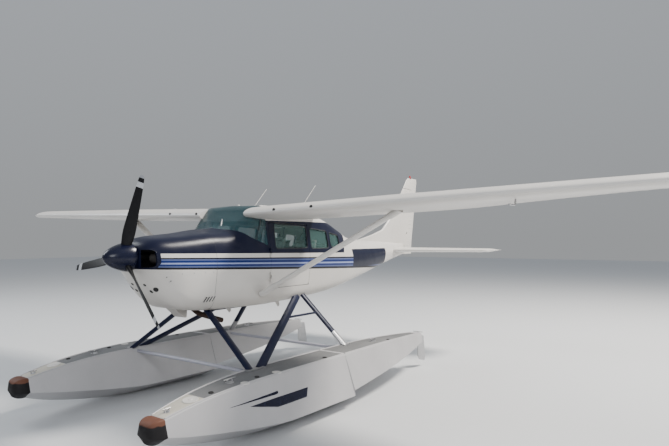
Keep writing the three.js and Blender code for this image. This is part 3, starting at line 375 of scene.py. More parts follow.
TRIM = painted("dark cabin trim", (0.045, 0.045, 0.048), 0.75, 0.2, 12.0, 300.0, 0.35)
LINING = painted("pale cabin lining", (0.33, 0.31, 0.28), 0.8, 0.1, 4.0, 240.0, 0.3)
CREAM = painted("cream deck panel", (0.50, 0.47, 0.40), 0.6, 0.12, 5.0, 90.0, 0.2)
RED_LENS = painted("red lamp glass", (0.45, 0.01, 0.008), 0.12, 0.1, 20.0, 60.0, 0.02, coat=1.0)
GREEN_LENS = painted("green lamp glass", (0.01, 0.28, 0.09), 0.12, 0.1, 20.0, 60.0, 0.02, coat=1.0)
print("finishes", len(bpy.data.materials))

# %% Mix the deck's and the windows' finishes


def non_skid():
    """Grey deck paint with sand in it, worn paler where it is walked on."""
    made = Finish("grey non-skid deck")
    grit = made.noise(420.0, 2.0)
    color = made.mix(made.noise(3.2, 6.0, (1.0, 0.5, 1.0)), (0.10, 0.105, 0.11), (0.25, 0.25, 0.25))
    made.bump(grit, 0.5, 0.0015)
    return made.done(made.mix(made.all_of(grit, 0.35), color, (0.04, 0.04, 0.04)),
                     made.between(grit, 0.75, 0.95))


def tinted_glass(name, dark, light, sunlit_cover):
    """Thin acrylic sheet: greenish tint, clear enough to show the cabin, glossy outside."""
    made = Finish(name)
    made.material.surface_render_method = "BLENDED"
    return made.done(made.mix(made.noise(1.3, 2.0), dark, light), made.between(made.noise(8.0), 0.03, 0.09),
                     alpha=sunlit_cover, coat=0.3, ior=1.49)


DECK_GRIT = non_skid()
GLASS = tinted_glass("clear acrylic", (0.10, 0.22, 0.21), (0.16, 0.30, 0.28), 0.20)
TEAL_GLASS = tinted_glass("teal acrylic", (0.010, 0.050, 0.065), (0.022, 0.095, 0.11), 0.52)
print("finishes", len(bpy.data.materials))

# %% [markdown]
# ## Tools for making shapes
#
# Three tools make most of the metalwork. A loft joins a row of rings into a closed skin, as a
# boat's planking joins its frames. A prism is a side outline drawn out across the aircraft. A
# carve adds one closed shape to another, or takes it away, as panels, doors and windows need.
# The finished mesh is plain, and its edges stay crisp only where two faces meet at a real corner.

# %% Make a mesh and join rings into a skin


def new_piece(name, points, faces, edges=()):
    mesh = bpy.data.meshes.new(name)
    mesh.from_pydata([tuple(p) for p in points], edges, faces)
    piece = bpy.data.objects.new(name, mesh)
    collection.objects.link(piece)
    return piece


def face_outwards(piece):
    work = bmesh.new()
    work.from_mesh(piece.data)
    bmesh.ops.recalc_face_normals(work, faces=work.faces)
    work.to_mesh(piece.data)
    work.free()
    return piece


def polish(piece, angle=28):
    """Smooth shading that breaks at real corners."""
    piece.data.shade_smooth()
    piece.data.set_sharp_from_angle(angle=radians(angle))
    return piece


def loft(name, rings):
    """A closed skin through rings of places in millimetres."""
    count = len(rings[0])
    points = [at(*p) for ring in rings for p in ring]
    faces = []
    for r in range(len(rings) - 1):
        for i in range(count):
            j = (i + 1) % count
            faces.append((r * count + i, r * count + j, (r + 1) * count + j, (r + 1) * count + i))
    faces.append(tuple(range(count)))
    faces.append(tuple(range((len(rings) - 1) * count, len(rings) * count)))
    return face_outwards(new_piece(name, points, faces))


def rounded(outline, r, steps=6):
    """An outline of (a, b) corners with each corner rounded by r."""
    if r <= 0:
        return list(outline)
    result = []
    for i, corner in enumerate(outline):
        before, after = Vector(outline[i - 1]), Vector(outline[(i + 1) % len(outline)])
        here = Vector(corner)
        start = here + (before - here).normalized() * r
        end = here + (after - here).normalized() * r
        for step in range(steps + 1):
            t = step / steps
            result.append(start * (1 - t) ** 2 + here * 2 * t * (1 - t) + end * t ** 2)
    return [tuple(p) for p in result]


def prism(name, outline, x0, x1, r=0.0, steps=6):
    """A side outline of (y, z) drawn out from x0 to x1."""
    shape = rounded(outline, r, steps)
    return loft(name, [[(x, y, z) for y, z in shape] for x in sorted((x0, x1))])


def block(name, x0, x1, y0, y1, z0, z1):
    return prism(name, [(y0, z0), (y1, z0), (y1, z1), (y0, z1)], x0, x1)


# %% Cut, join and copy meshes


def settle(piece):
    """Keeps what the modifiers make of a mesh, and takes the modifiers off."""
    graph = bpy.context.evaluated_depsgraph_get()
    mesh = bpy.data.meshes.new_from_object(piece.evaluated_get(graph))
    piece.modifiers.clear()
    old, piece.data = piece.data, mesh
    bpy.data.meshes.remove(old)
    return piece


def drop(*pieces):
    for piece in pieces:
        mesh = piece.data
        bpy.data.objects.remove(piece)
        bpy.data.meshes.remove(mesh)


def carve(base, *others, how="DIFFERENCE"):
    """Adds, keeps or takes away closed shapes; the others are used up."""
    for other in others:
        cutter = base.modifiers.new("carve", "BOOLEAN")
        cutter.operation = how
        cutter.solver = "MANIFOLD"
        cutter.object = other
        settle(base)
        drop(other)
    return base


def copy_of(piece, name):
    twin = piece.copy()
    twin.data = piece.data.copy()
    twin.name = name
    collection.objects.link(twin)
    return twin


def gather(name, pieces):
    """Several meshes become one piece."""
    work = bmesh.new()
    for piece in pieces:
        work.from_mesh(piece.data)
    drop(*pieces)
    made = new_piece(name, [], [])
    work.to_mesh(made.data)
    work.free()
    return made


# %% Dress a finished piece
dressed = []


def dress(piece, material, body="root", stands_for=()):
    """Gives a finished piece its material, its body and the CAD nodes that it stands for."""
    piece.data.materials.clear()
    piece.data.materials.append(material)
    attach(piece, body)
    if stands_for:
        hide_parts(*stands_for)
    dressed.append(piece.name)
    return piece


# %% Bars, rings and turned shapes


def circle(centre, a, b, sides):
    """Places round an ellipse with the half axes a and b."""
    turns = [2 * pi * k / sides for k in range(sides)]
    return [tuple(centre + a * cos(turn) + b * sin(turn)) for turn in turns]


def tube(name, path, radius, sides=12):
    """A round bar along a list of places in millimetres, of one radius or of one for each place."""
    spots = [Vector(p) for p in path]
    rings = []
    side = None
    for i, spot in enumerate(spots):
        ahead = (spots[min(i + 1, len(spots) - 1)] - spots[max(i - 1, 0)]).normalized()
        if side is None:
            side = ahead.cross(Vector((0.3, 0.1, 1))).normalized()
        side = (side - ahead * side.dot(ahead)).normalized()
        size = radius[i] if isinstance(radius, (list, tuple)) else radius
        rings.append(circle(spot, side * size, ahead.cross(side) * size, sides))
    return polish(loft(name, rings), 40)


def ring_tube(name, path, radius, sides=8):
    """A bar along a closed path."""
    spots = [Vector(p) for p in path]
    count = len(spots)
    points, faces = [], []
    for i, spot in enumerate(spots):
        ahead = (spots[(i + 1) % count] - spots[i - 1]).normalized()
        side = ahead.cross(Vector((1, 0.02, 0.03))).normalized()
        points += [at(*p) for p in circle(spot, side * radius, ahead.cross(side) * radius, sides)]
        a, b = i * sides, (i + 1) % count * sides
        faces += [(a + k, a + (k + 1) % sides, b + (k + 1) % sides, b + k) for k in range(sides)]
    return polish(face_outwards(new_piece(name, points, faces)), 50)


def lathe(name, profile, centre, axis="Y", steps=48):
    """A profile of (radius, height along the axis) turned about an axis through centre."""
    rings = []
    for radius, height in profile:
        ring = []
        for k in range(steps):
            a, b = radius * cos(2 * pi * k / steps), radius * sin(2 * pi * k / steps)
            offset = {"X": (height, a, b), "Y": (b, height, a), "Z": (a, b, height)}[axis]
            ring.append(tuple(Vector(centre) + Vector(offset)))
        rings.append(ring)
    return polish(loft(name, rings), 32)


# %% [markdown]
# ## The body's form
#
# The body is lofted through frames, as a boat's hull is. Each frame is five straight lines with
# three rounded corners: the belly's, the belt's and the shoulder's. A table gives the frames,
# and a smooth curve through each column gives every section between them, so that the skin
# has no facets.

# %% Frames of the body
# y, half width at the belt, belt z, half width of the flat belly, belly z, belly corner,
# half width of the top, top z, crown of the top, top corner
FUSELAGE = [
    (-1030, 290, -85, 110, -190, 110, 240, 150, 35, 130),
    (-965, 360, -89, 170, -270, 150, 305, 205, 40, 155),
    (-840, 420, -93, 250, -400, 190, 360, 250, 45, 170),
    (-640, 466, -97, 330, -580, 205, 395, 270, 48, 170),
    (-400, 490, -101, 395, -692, 210, 428, 290, 52, 170),
    (0, 530, -110, 440, -732, 200, 460, 340, 70, 170),
    (420, 572, -120, 480, -738, 180, 480, 376, 85, 170),
    (640, 590, -125, 500, -738, 170, 500, 545, 62, 130),
    (850, 602, -130, 520, -738, 160, 512, 698, 20, 85),
    (1000, 608, -135, 530, -738, 160, 510, 712, 14, 60),
    (1900, 608, -135, 530, -708, 160, 506, 668, 14, 60),
    (2400, 596, -130, 520, -684, 160, 480, 604, 25, 90),
    (2900, 560, -120, 480, -648, 160, 425, 508, 40, 120),
    (3300, 512, -110, 435, -606, 160, 365, 405, 50, 140),
    (3700, 456, -100, 385, -552, 150, 305, 280, 50, 140),
    (4500, 352, -90, 290, -432, 130, 230, 188, 40, 120),
    (5500, 215, -60, 165, -270, 90, 135, 150, 25, 75),
    (6450, 82, -20, 60, -122, 40, 52, 104, 8, 40),
]
print("body frames", len(FUSELAGE))

# %% A smooth curve through each column of a table


def smooth_table(table):
    """A function from the first column to the others, smooth and without overshoot."""
    keys = [row[0] for row in table]
    columns = list(zip(*table))[1:]
    steps = [b - a for a, b in zip(keys, keys[1:])]
    slopes = [[(column[i + 1] - column[i]) / steps[i] for i in range(len(steps))] for column in columns]

    def tangent(rise, i):
        if i == 0 or i == len(steps):
            return rise[min(i, len(steps) - 1)]
        before, after = rise[i - 1], rise[i]
        if before * after <= 0:
            return 0.0
        first, second = 2 * steps[i] + steps[i - 1], steps[i] + 2 * steps[i - 1]
        return (first + second) / (first / before + second / after)

    def value(key):
        i = max(0, min(len(steps) - 1, sum(1 for k in keys if k <= key) - 1))
        t = min(1.0, max(0.0, (key - keys[i]) / steps[i]))
        row = []
        for column, rise in zip(columns, slopes):
            m0, m1 = tangent(rise, i) * steps[i], tangent(rise, i + 1) * steps[i]
            row.append((2 * t ** 3 - 3 * t ** 2 + 1) * column[i] + (t ** 3 - 2 * t ** 2 + t) * m0
                       + (3 * t ** 2 - 2 * t ** 3) * column[i + 1] + (t ** 3 - t ** 2) * m1)
        return row

    return value


frame_at = smooth_table(FUSELAGE)
print("crown over the doors mm", round(frame_at(1500)[7]))

# %% Sections and skin of the body


def half_section(y, inset=0.0, steps=(8, 5, 8)):
    """The left half of a frame, from the keel line round to the crown, as (x, z)."""
    width, belt, foot, belly, foot_r, shoulder, top, crown, shoulder_r = frame_at(y)
    outline = [Vector(p) for p in (
        (0, belly + inset), (foot - inset, belly + inset), (width - inset, belt),
        (shoulder - inset, top - crown - inset), (0, top - inset))]
    half = [outline[0]]
    for i, setback, count in ((1, foot_r, steps[0]), (2, 0.3 * (belt - belly), steps[1]),
                              (3, shoulder_r, steps[2])):
        ends = []
        for to in (i - 1, i + 1):
            length = (outline[to] - outline[i]).length
            ends.append(outline[i].lerp(outline[to], min(setback, 0.48 * length) / length))
        for step in range(count + 1):
            t = step / count
            half.append(ends[0] * (1 - t) ** 2 + outline[i] * 2 * t * (1 - t) + ends[1] * t ** 2)
    half.append(outline[4])
    return half


def hull(name, inset, y0, y1, spacing=45, inset_at=None, extra=()):
    """The body's skin, moved inwards by inset, between two frames."""
    count = max(2, round((y1 - y0) / spacing) + 1)
    places = [y0 + (y1 - y0) * n / (count - 1) for n in range(count)]
    rings = []
    for y in sorted(set(places) | {y for y in extra if y0 < y < y1}):
        half = half_section(y, inset + (inset_at(y) if inset_at else 0.0))
        rings.append([(p.x, y, p.y) for p in half] + [(-p.x, y, p.y) for p in half[-2:0:-1]])
    return loft(name, rings)


def skin_x(y, z, inset=0.0):
    """Half width of the skin at a height on the side."""
    half = half_section(y, inset)
    for a, b in zip(half[1:], half[2:]):
        if a.y <= z <= b.y and b.y > a.y:
            return a.x + (b.x - a.x) * (z - a.y) / (b.y - a.y)
    return half[len(half) // 2].x


def crown_z(y, x=0.0):
    """Height of the upper skin over a place."""
    half = half_section(y)
    for a, b in zip(half[::-1], half[-2::-1]):
        if a.x <= abs(x) <= b.x and b.x > a.x:
            return a.y + (b.y - a.y) * (abs(x) - a.x) / (b.x - a.x)
    return half[-1].y


print("belt width mm", round(2 * skin_x(1000, -135)))

# %% [markdown]
# ## Cabin panels, doors and windows
#
# The cabin is a thin shell that real builders make from separate panels: the front, the belly,
# two sides, the roof and a small crown panel where the skin runs down behind the roof, with a
# door on the left and a double cargo door on the right. Each is cut from the same lofted skin by
# its own outline, so the seams line up as they do on the real aircraft. Windows are rounded
# holes, each with a thin pane and a dark sealing strip around it.

# %% Sizes of the cabin
GAP, PIN_RUN, RUN = 0.3, 0.7, 7        # between panels, at pins, and round what swings
WALL, ROOF_WALL, SKIN = 45, 70, 20
FLOOR_Z, SILL_Z, CANT_Z, SIDE_X = -560, -500, 478, 200
CABIN_FRONT_Y, CABIN_REAR_Y = 20, 3150
POST_Y, AHEAD_OF_DOOR_Y, DOOR_FRONT_Y, DOOR_REAR_Y, GLASS_TOP_Y = 985, 900, 1035, 2035, 930
DOOR_TOP_Z = (464, 434)                # at the door's front edge and 1000 mm behind it
CARGO_SPLIT = (1500, 2130, 2720)
FAR = 3000
GLASS_FOOT = [(250, 440), (420, 368), (630, 250), (750, 203), (POST_Y, 126)]
WINDSHIELD = GLASS_FOOT + [(POST_Y, 640), (GLASS_TOP_Y, 640), (GLASS_TOP_Y, 800), (250, 800)]
WINDOW_R = 55
WINDOWS = {  # side, front y, rear y, sill z, head z in front, head z behind, body, node of the wall
    "window_door_left": (1, 1170, 1982, 76, 434, 400, "door_left"),
    "window_mid_left": (1, 2090, 2635, 62, 375, 338, "root"),
    "window_rear_left": (1, 2735, 3085, 76, 316, 270, "root"),
    "window_front_right": (-1, 1085, 1425, 76, 434, 420, "root"),
    "window_cargo_front": (-1, 1575, 2065, 68, 410, 388, "cargo_door_front"),
    "window_cargo_rear": (-1, 2195, 2640, 66, 352, 325, "cargo_door_rear"),
    "window_rear_right": (-1, 2790, 3070, 75, 305, 270, "root"),
}
DOORS = {  # side, front y, rear y, window
    "door_left": (1, DOOR_FRONT_Y, DOOR_REAR_Y, "window_door_left"),
    "cargo_door_front": (-1, CARGO_SPLIT[0], CARGO_SPLIT[1], "window_cargo_front"),
    "cargo_door_rear": (-1, CARGO_SPLIT[1], CARGO_SPLIT[2], "window_cargo_rear"),
}
print("windows", len(WINDOWS), "doors", len(DOORS))

# %% Outlines and the hollow shell


def window_outline(name, grown=0.0):
    _, y0, y1, z0, z1, z2, _ = WINDOWS[name]
    return [(y0 - grown, z0 - grown), (y1 + grown, z0 - grown), (y1 + grown, z2 + grown),
            (y0 - grown, z1 + grown)]


def window_hole(name):
    side = WINDOWS[name][0]
    return prism("hole", window_outline(name), side * 250, side * 800, WINDOW_R, 8)


def door_outline(y0, y1, margin):
    def head(y):
        return DOOR_TOP_Z[0] + (DOOR_TOP_Z[1] - DOOR_TOP_Z[0]) * (y - DOOR_FRONT_Y) / 1000
    return [(y0 + margin, SILL_Z + margin), (y1 - margin, SILL_Z + margin),
            (y1 - margin, head(y1) - margin), (y0 + margin, head(y0) - margin)]


def shell(name, y0, y1, wall=WALL):
    """The cabin's skin between two frames, hollow above the floor."""
    outer = hull(name, 0, y0, y1)
    room = hull("room", wall, max(CABIN_FRONT_Y, y0 - 20), y1 + 20)
    room = carve(room, block("floor cut", -FAR, FAR, y0 - 50, y1 + 50, FLOOR_Z, FAR), how="INTERSECT")
    return carve(outer, room)


# %% Hinges of the doors
KNUCKLE_R, HINGE_OUT = 11, 14
HINGE_ZS = (-330, 20)
ON_DOOR, ON_BODY = [(-23, 23)], [(-69.7, -23.7), (23.7, 69.7)]


def knuckles(name, on_door):
    """Hinge knuckles: two on the body and one between them on the door, at two heights."""
    side, y0, y1, _ = DOORS[name]
    rear = name == "cargo_door_rear"
    y = y1 - RUN / 2 if rear else y0 + RUN / 2
    x = side * (skin_x(y, -135) + HINGE_OUT)
    a, b = (y + 5, y + 34) if rear != on_door else (y - 34, y - 5)
    parts = []
    for z in HINGE_ZS:
        inner = side * (skin_x(y, z) - 4)
        for low, high in ON_DOOR if on_door else ON_BODY:
            foot, head = z + low + 3, z + high - 3
            parts += [lathe("knuckle", [(KNUCKLE_R - 1.5, low), (KNUCKLE_R, low + 2), (KNUCKLE_R, high - 2),
                                        (KNUCKLE_R - 1.5, high)], (x, y, z), "Z", 20),
                      block("leaf", inner, x + side * 2, a, b, foot, head),
                      block("arm", x - side * 2, x + side * 4, min(y, a), max(y, b), foot, head)]
    return parts


# %% Cut the panels from the skin


def front_panel():
    piece = shell("front_panels", 0, DOOR_FRONT_Y)
    end = DOOR_FRONT_Y + 20
    above = [(-20, 600)] + [(y, z - 0.5) for y, z in GLASS_FOOT]
    above += [(POST_Y + GAP, CANT_Z - GAP), (end, CANT_Z - GAP), (end, 1200), (-20, 1200)]
    return gather("front_panels", [polish(carve(piece, prism("above", above, -FAR, FAR)))]
                  + knuckles("door_left", False))


def side_panel(name, side, doors, windows):
    piece = shell(name, DOOR_FRONT_Y + GAP, CABIN_REAR_Y - GAP)
    band = block("band", side * SIDE_X, side * 900, 0, 4000, SILL_Z + GAP, CANT_Z - GAP)
    piece = carve(piece, band, how="INTERSECT")
    y0, y1 = (AHEAD_OF_DOOR_Y, DOOR_REAR_Y) if side > 0 else (CARGO_SPLIT[0], CARGO_SPLIT[2])
    sill = [(y0, SILL_Z - 20), (y1, SILL_Z - 20)]
    hole = prism("hole", sill + door_outline(y0, y1, 0)[2:], side * 250, side * 800)
    piece = carve(piece, hole, *[window_hole(w) for w in windows])
    return gather(name, [polish(piece)] + [k for door in doors for k in knuckles(door, False)])


def roof_panel():
    piece = hull("roof_panel", 0, GLASS_TOP_Y + GAP, CABIN_REAR_Y - GAP)
    below = [(800, -1200), (3200, -1200), (3200, CANT_Z), (POST_Y + GAP, CANT_Z), (POST_Y + GAP, 640 + GAP),
             (800, 640 + GAP)]
    room = hull("room", ROOF_WALL, GLASS_TOP_Y + 80, 3200)
    return polish(carve(piece, prism("below", below, -FAR, FAR), room))


def crown_panel():
    """The skin between the two sides, where the crown runs lower than the roof panel's edge."""
    piece = shell("crown_panel", DOOR_FRONT_Y + GAP, CABIN_REAR_Y - GAP)
    keep = block("keep", GAP - SIDE_X, SIDE_X - GAP, 2600, 4000, 300, CANT_Z - GAP)
    return polish(carve(piece, keep, how="INTERSECT"))


def belly_panel():
    piece = shell("belly_panel", DOOR_FRONT_Y + GAP, CABIN_REAR_Y - GAP)
    return polish(carve(piece, block("keep", -FAR, FAR, 0, 4000, -FAR, SILL_Z), how="INTERSECT"))


def door_panel(name):
    side, y0, y1, window = DOORS[name]
    piece = shell(name + "_panel", y0 - 30, y1 + 30)
    outline = prism("outline", door_outline(y0, y1, RUN), side * 250, side * 900, 40, 6)
    piece = carve(piece, outline, how="INTERSECT")
    piece = carve(piece, window_hole(window))
    return gather(name + "_panel", [polish(piece)] + knuckles(name, True))


# %% Dress the panels
dress(front_panel(), BODY_PAINT, stands_for=["fuselage_front"])
dress(belly_panel(), BODY_PAINT, stands_for=["belly_pan"])
dress(side_panel("side_panel_left", 1, [], ["window_mid_left", "window_rear_left"]),
      BODY_PAINT, stands_for=["cabin_side_left"])
dress(side_panel("side_panel_right", -1, ["cargo_door_front", "cargo_door_rear"],
                 ["window_front_right", "window_rear_right"]),
      BODY_PAINT, stands_for=["cabin_side_right"])
dress(roof_panel(), WHITE_PAINT, stands_for=["cabin_roof"])
dress(crown_panel(), BODY_PAINT)
for door in DOORS:
    dress(door_panel(door), BODY_PAINT, door, [door])
print("cabin panels", len(dressed))

# %% [markdown]
# ## Windshield and panes
#
# The windshield is one blown sheet that runs from the cowl to the wing, and the side windows are
# thin sheets set a little inside the skin. A sheet is made from two copies of the body's loft,
# a few millimetres apart, and kept only within the window's outline. The sealing strips follow
# the same outlines along the skin.

# %% Make the glass
WINDSHIELD_IN, PANE_IN = (1, 8), (12, 18)   # outer and inner face, in from the skin


def glass_sheet(name, y0, y1, outer, inner, outline, side=0, r=0.0):
    sheet = hull(name, outer, y0, y1, 30)
    sheet = carve(sheet, hull("inner", inner, y0 - 40, y1 + 40, 30))
    x0, x1 = (-FAR, FAR) if side == 0 else (side * 250, side * 800)
    return polish(carve(sheet, prism("keep", outline, x0, x1, r, 8), how="INTERSECT"), 40)


windshield_outline = [(y, z + GAP) for y, z in WINDSHIELD]
dress(glass_sheet("windshield_sheet", 200, POST_Y + 40, *WINDSHIELD_IN, windshield_outline), TEAL_GLASS,
      stands_for=["windshield"])
for name, (side, y0, y1, z0, z1, z2, body) in WINDOWS.items():
    pane = glass_sheet(name + "_pane", y0 - 60, y1 + 60, *PANE_IN, window_outline(name, -GAP), side, WINDOW_R)
    dress(pane, GLASS, body, [name])


# %% Seal the panes
SEAL_R, SEAL_SINK, SEAL_STEP = 7, 1.0, 60


def seal_strip(name, outline, side, body):
    """A strip of rubber that follows an outline along the skin."""
    path = []
    shape = rounded(outline, WINDOW_R, 6)
    for i, (y, z) in enumerate(shape):
        ahead = shape[(i + 1) % len(shape)]
        pieces = max(1, int(hypot(ahead[0] - y, ahead[1] - z) // SEAL_STEP))
        for k in range(pieces):
            t = k / pieces
            a, b = y + (ahead[0] - y) * t, z + (ahead[1] - z) * t
            path.append((side * (skin_x(a, b) - SEAL_SINK), a, b))
    return dress(ring_tube(name, path, SEAL_R), GASKET, body)


for name, (side, *_, body) in WINDOWS.items():
    seal_strip(name + "_seal", window_outline(name, 4), side, body)
print("panes and seals", len(WINDOWS) + 1, len(WINDOWS))

# %% [markdown]
# ## Cowls
#
# The engine's cover is an upper and a lower cowl that meet low on the side. Its front edge is
# well rounded, so the loft's frames shrink there along a quarter circle. Two openings beside
# the spinner let the cooling air in, and a lip under the belly lets it out again.

# %% Make the cowls
COWL_FRONT_Y, COWL_SKIN, COWL_SPLIT_Z = -1030, 22, -190
NOSE_R = 28
INLET = [(-1300, -125), (-905, -125), (-905, 90), (-1300, 90)]
SCOOP_HALF = 92
LIP = [(-430, -640), (-340, -712), (-200, -826), (-150, -828), (-138, -640)]
LIP_HOLE = [(-400, -640), (-325, -698), (-195, -804), (-60, -806), (-60, -640)]
EXHAUST_X, EXHAUST_R = 145, 36
SHAFT_HOLE_R = 75
PIPE_SLOT = (EXHAUST_X - 44, EXHAUST_X + 54, -350, 50, -900, -600)


def nose_round(y):
    depth = max(0.0, y - COWL_FRONT_Y)
    return NOSE_R - sqrt(NOSE_R ** 2 - (NOSE_R - depth) ** 2) if depth < NOSE_R else 0.0


def cowl_form():
    near = [COWL_FRONT_Y + NOSE_R * (1 - cos(radians(a))) for a in range(6, 90, 7)]
    outer = hull("cowl", 0, COWL_FRONT_Y, -GAP, 40, nose_round, near)
    inner = hull("inside", COWL_SKIN, COWL_FRONT_Y + COWL_SKIN, 60, 40,
                 lambda y: nose_round(y - COWL_SKIN), [y + COWL_SKIN for y in near])
    lip = prism("lip", LIP, -SCOOP_HALF, SCOOP_HALF, 6, 4)
    lip_inside = hull("clear", COWL_SKIN, -1000, 0)
    cowl = carve(carve(outer, inner), carve(lip, lip_inside), how="UNION")
    for side in (1, -1):
        carve(cowl, prism("inlet", INLET, side * 195, side * 700, 60, 10))
    return carve(cowl, prism("outlet", LIP_HOLE, 8 - SCOOP_HALF, SCOOP_HALF - 8),
                 lathe("shaft hole", [(SHAFT_HOLE_R, -1200), (SHAFT_HOLE_R, -900)], (0, 0, 0)))


# %% Part the cowls
cowl = cowl_form()
lower = copy_of(cowl, "cowl_bottom")
cowl.name = "cowl_top"
carve(cowl, block("split", -FAR, FAR, -2000, 100, -FAR, COWL_SPLIT_Z))
carve(lower, block("split", -FAR, FAR, -2000, 100, COWL_SPLIT_Z - GAP, FAR),
      block("pipe slot", *PIPE_SLOT))
dress(polish(cowl), BODY_PAINT, stands_for=["cowl_upper"])
dress(polish(lower), BODY_PAINT, stands_for=["cowl_lower"])
print("cowl faces", len(cowl.data.polygons) + len(lower.data.polygons))

# %% [markdown]
# ## Tail cone
#
# Behind the cabin the body narrows to the tail. It is the same loft, hollow, and the stabilizer
# simply enters its skin. A small bearing at the end holds the elevator's tube.

# %% Make the tail cone
TAIL_END_Y, STAB_HINGE_Y, STAB_Z, TUBE_R = 6450, 6500, -30, 22
cone = hull("tail_cone", 0, CABIN_REAR_Y, TAIL_END_Y, 60)
HATCH_HOLE = [(210, -50), (210, 60)]
bearing = block("bearing", -14, 14, TAIL_END_Y - 20, STAB_HINGE_Y - TUBE_R - PIN_RUN, STAB_Z - 14,
                STAB_Z + 14)
carve(cone, hull("inside", SKIN, CABIN_REAR_Y + SKIN, TAIL_END_Y - 60, 60),
      lathe("hatch", HATCH_HOLE, (0, CABIN_REAR_Y, -80)))
carve(cone, bearing, how="UNION")
dress(polish(cone), BODY_PAINT, stands_for=["tailcone"])
print("tail cone mm", TAIL_END_Y - CABIN_REAR_Y)

# %% [markdown]
# ## Wings and their moving surfaces
#
# A wing section is a formula: a mean line and a half thickness for every fraction of the chord.
# Stations along the span say where each section starts, how long it is and how it is tilted.
# The flap and the aileron have round noses about their hinge line, and the wing ends in a
# hollow a little wider than that nose, so the surfaces can turn without touching it.

# %% Sections and stations
WING_LE_Y, WING_Z, WING_TIP_X, DIHEDRAL = 620, 555, 5460, 1.73
FLAP_HINGE_Y, FLAP_X, AILERON_X, AILERON_FRACTION = 1790, (632, 3050), (3070, 5000), 0.77
FLAP_RUN = 14
BLUNT, EDGE = 0.3, 2.5
WING = [  # x, chord, leading edge behind the root's, lift of the section, incidence, thickness
    (430, 1626, 0, 0, 1.5, 0.12), (2540, 1626, 0, 0, 1.5, 0.12), (3060, 1536, 28, 0, 1.5, 0.12),
    (5300, 1150, 150, 0, -1.2, 0.12), (5400, 1110, 170, -4, -1.3, 0.11),
    (5446, 1010, 225, -14, -1.4, 0.085), (WING_TIP_X, 880, 300, -22, -1.4, 0.05),
]
TIP_X = 5300                           # from here out the wing rounds off
FINE = [(1 + cos(pi * k / 24)) / 2 for k in range(25)]
print("span mm", 2 * WING_TIP_X)

# %% A section across a wing or tail surface


class Station:
    """A section: where it starts, which way it runs, how long and how thick it is."""

    def __init__(self, origin, along, up, chord, thickness, camber=0.0):
        self.origin, self.along, self.up = Vector(origin), Vector(along), Vector(up)
        self.chord, self.thickness, self.camber = chord, thickness, camber

    def half(self, f):
        return 5 * self.thickness * (0.2969 * sqrt(f) - 0.126 * f - 0.3516 * f ** 2
                                     + 0.2843 * f ** 3 - 0.1036 * f ** 4)

    def point(self, f, sign):
        p = 0.4
        line = ((self.camber / p ** 2) * (2 * p * f - f ** 2) if f < p
                else (self.camber / (1 - p) ** 2) * (1 - 2 * p + 2 * p * f - f ** 2))
        height = line * self.chord + sign * max(self.half(f) * self.chord, EDGE)
        return self.origin + self.along * f * self.chord + self.up * height

    def hinge(self, f):
        return (self.point(f, 1) + self.point(f, -1)) / 2

    def radius(self, f):
        return self.half(f) * self.chord

    def fraction(self, y):
        return (y - self.origin.y) / self.chord

    def front_ring(self, to=1.0):
        return ([tuple(self.point(f * to, 1)) for f in FINE]
                + [tuple(self.point(f * to, -1)) for f in FINE[-2::-1]])

    def rear_ring(self, start, hinge=None, r=None):
        hinge = hinge or self.hinge(start)
        r = r or self.radius(start)
        steps = [1 + (start - 1) * k / 6 for k in range(7)]
        nose = [hinge + self.up * r * cos(radians(a)) - self.along * r * sin(radians(a))
                for a in range(12, 180, 12)]
        return ([tuple(self.point(f, 1)) for f in steps] + [tuple(p) for p in nose]
                + [tuple(self.point(f, -1)) for f in steps[::-1]])


# %% Sections of the wing and lines of the hinges
tip_row = smooth_table(WING)


def wing_station(x, side):
    i = max(0, min(len(WING) - 2, sum(1 for row in WING if row[0] <= x) - 1))
    t = (x - WING[i][0]) / (WING[i + 1][0] - WING[i][0])
    linear = [a + (b - a) * t for a, b in zip(WING[i][1:], WING[i + 1][1:])]
    chord, sweep, lift, incidence, thickness = linear if x < TIP_X else tip_row(x)
    tilt = radians(incidence)
    origin = (side * x, WING_LE_Y + sweep, WING_Z + x * tan(radians(DIHEDRAL)) + lift)
    return Station(origin, (0, cos(tilt), -sin(tilt)), (0, sin(tilt), cos(tilt)), chord, thickness, 0.02)


def hinge_fraction(station, kind):
    return station.fraction(FLAP_HINGE_Y) if kind == "flap" else AILERON_FRACTION


def hinge_line(stations, fractions):
    return [(stations[i].hinge(fractions[i]), stations[i].radius(fractions[i])) for i in (0, -1)]


def cove(line, room, reach=1):
    (a, ra), (b, rb) = line
    out = (b - a).normalized() * reach
    return tube("cove", [a - out, b + out], [ra + room, rb + room], 36)


def pin(line, reach, r=6):
    (a, _), (b, _) = line
    out = (b - a).normalized() * reach
    return tube("pin", [a - out, b + out], r, 12)


print("chord at the root and the tip mm", wing_station(430, 1).chord, round(wing_station(TIP_X, 1).chord))


# %% Make the wings, flaps and ailerons


def wing_bay(side, kind, span):
    """What is taken out of the wing for a flap or an aileron."""
    stations = [wing_station(x, side) for x in span]
    fractions = [hinge_fraction(s, kind) for s in stations]
    rings = []
    for x, s, f in zip(span, stations, fractions):
        edge = s.hinge(f) - s.along * BLUNT * s.radius(f)
        rings.append([(side * x, edge.y, edge.z - 400), (side * x, edge.y, edge.z + 400),
                      (side * x, edge.y + FAR, edge.z + 400), (side * x, edge.y + FAR, edge.z - 400)])
    return loft("bay", rings), cove(hinge_line(stations, fractions), FLAP_RUN if kind == "flap" else RUN)


def wing_panel(side, name):
    xs = [430, 632, 1500, 2540, 2700, 2880, 3060, 3800, 4600, TIP_X, 5330, 5360, 5400, 5425, 5446, 5454,
          WING_TIP_X]
    wing = loft(name, [wing_station(x, side).front_ring() for x in xs])
    return polish(carve(wing, *wing_bay(side, "flap", FLAP_X), *wing_bay(side, "aileron", AILERON_X)))


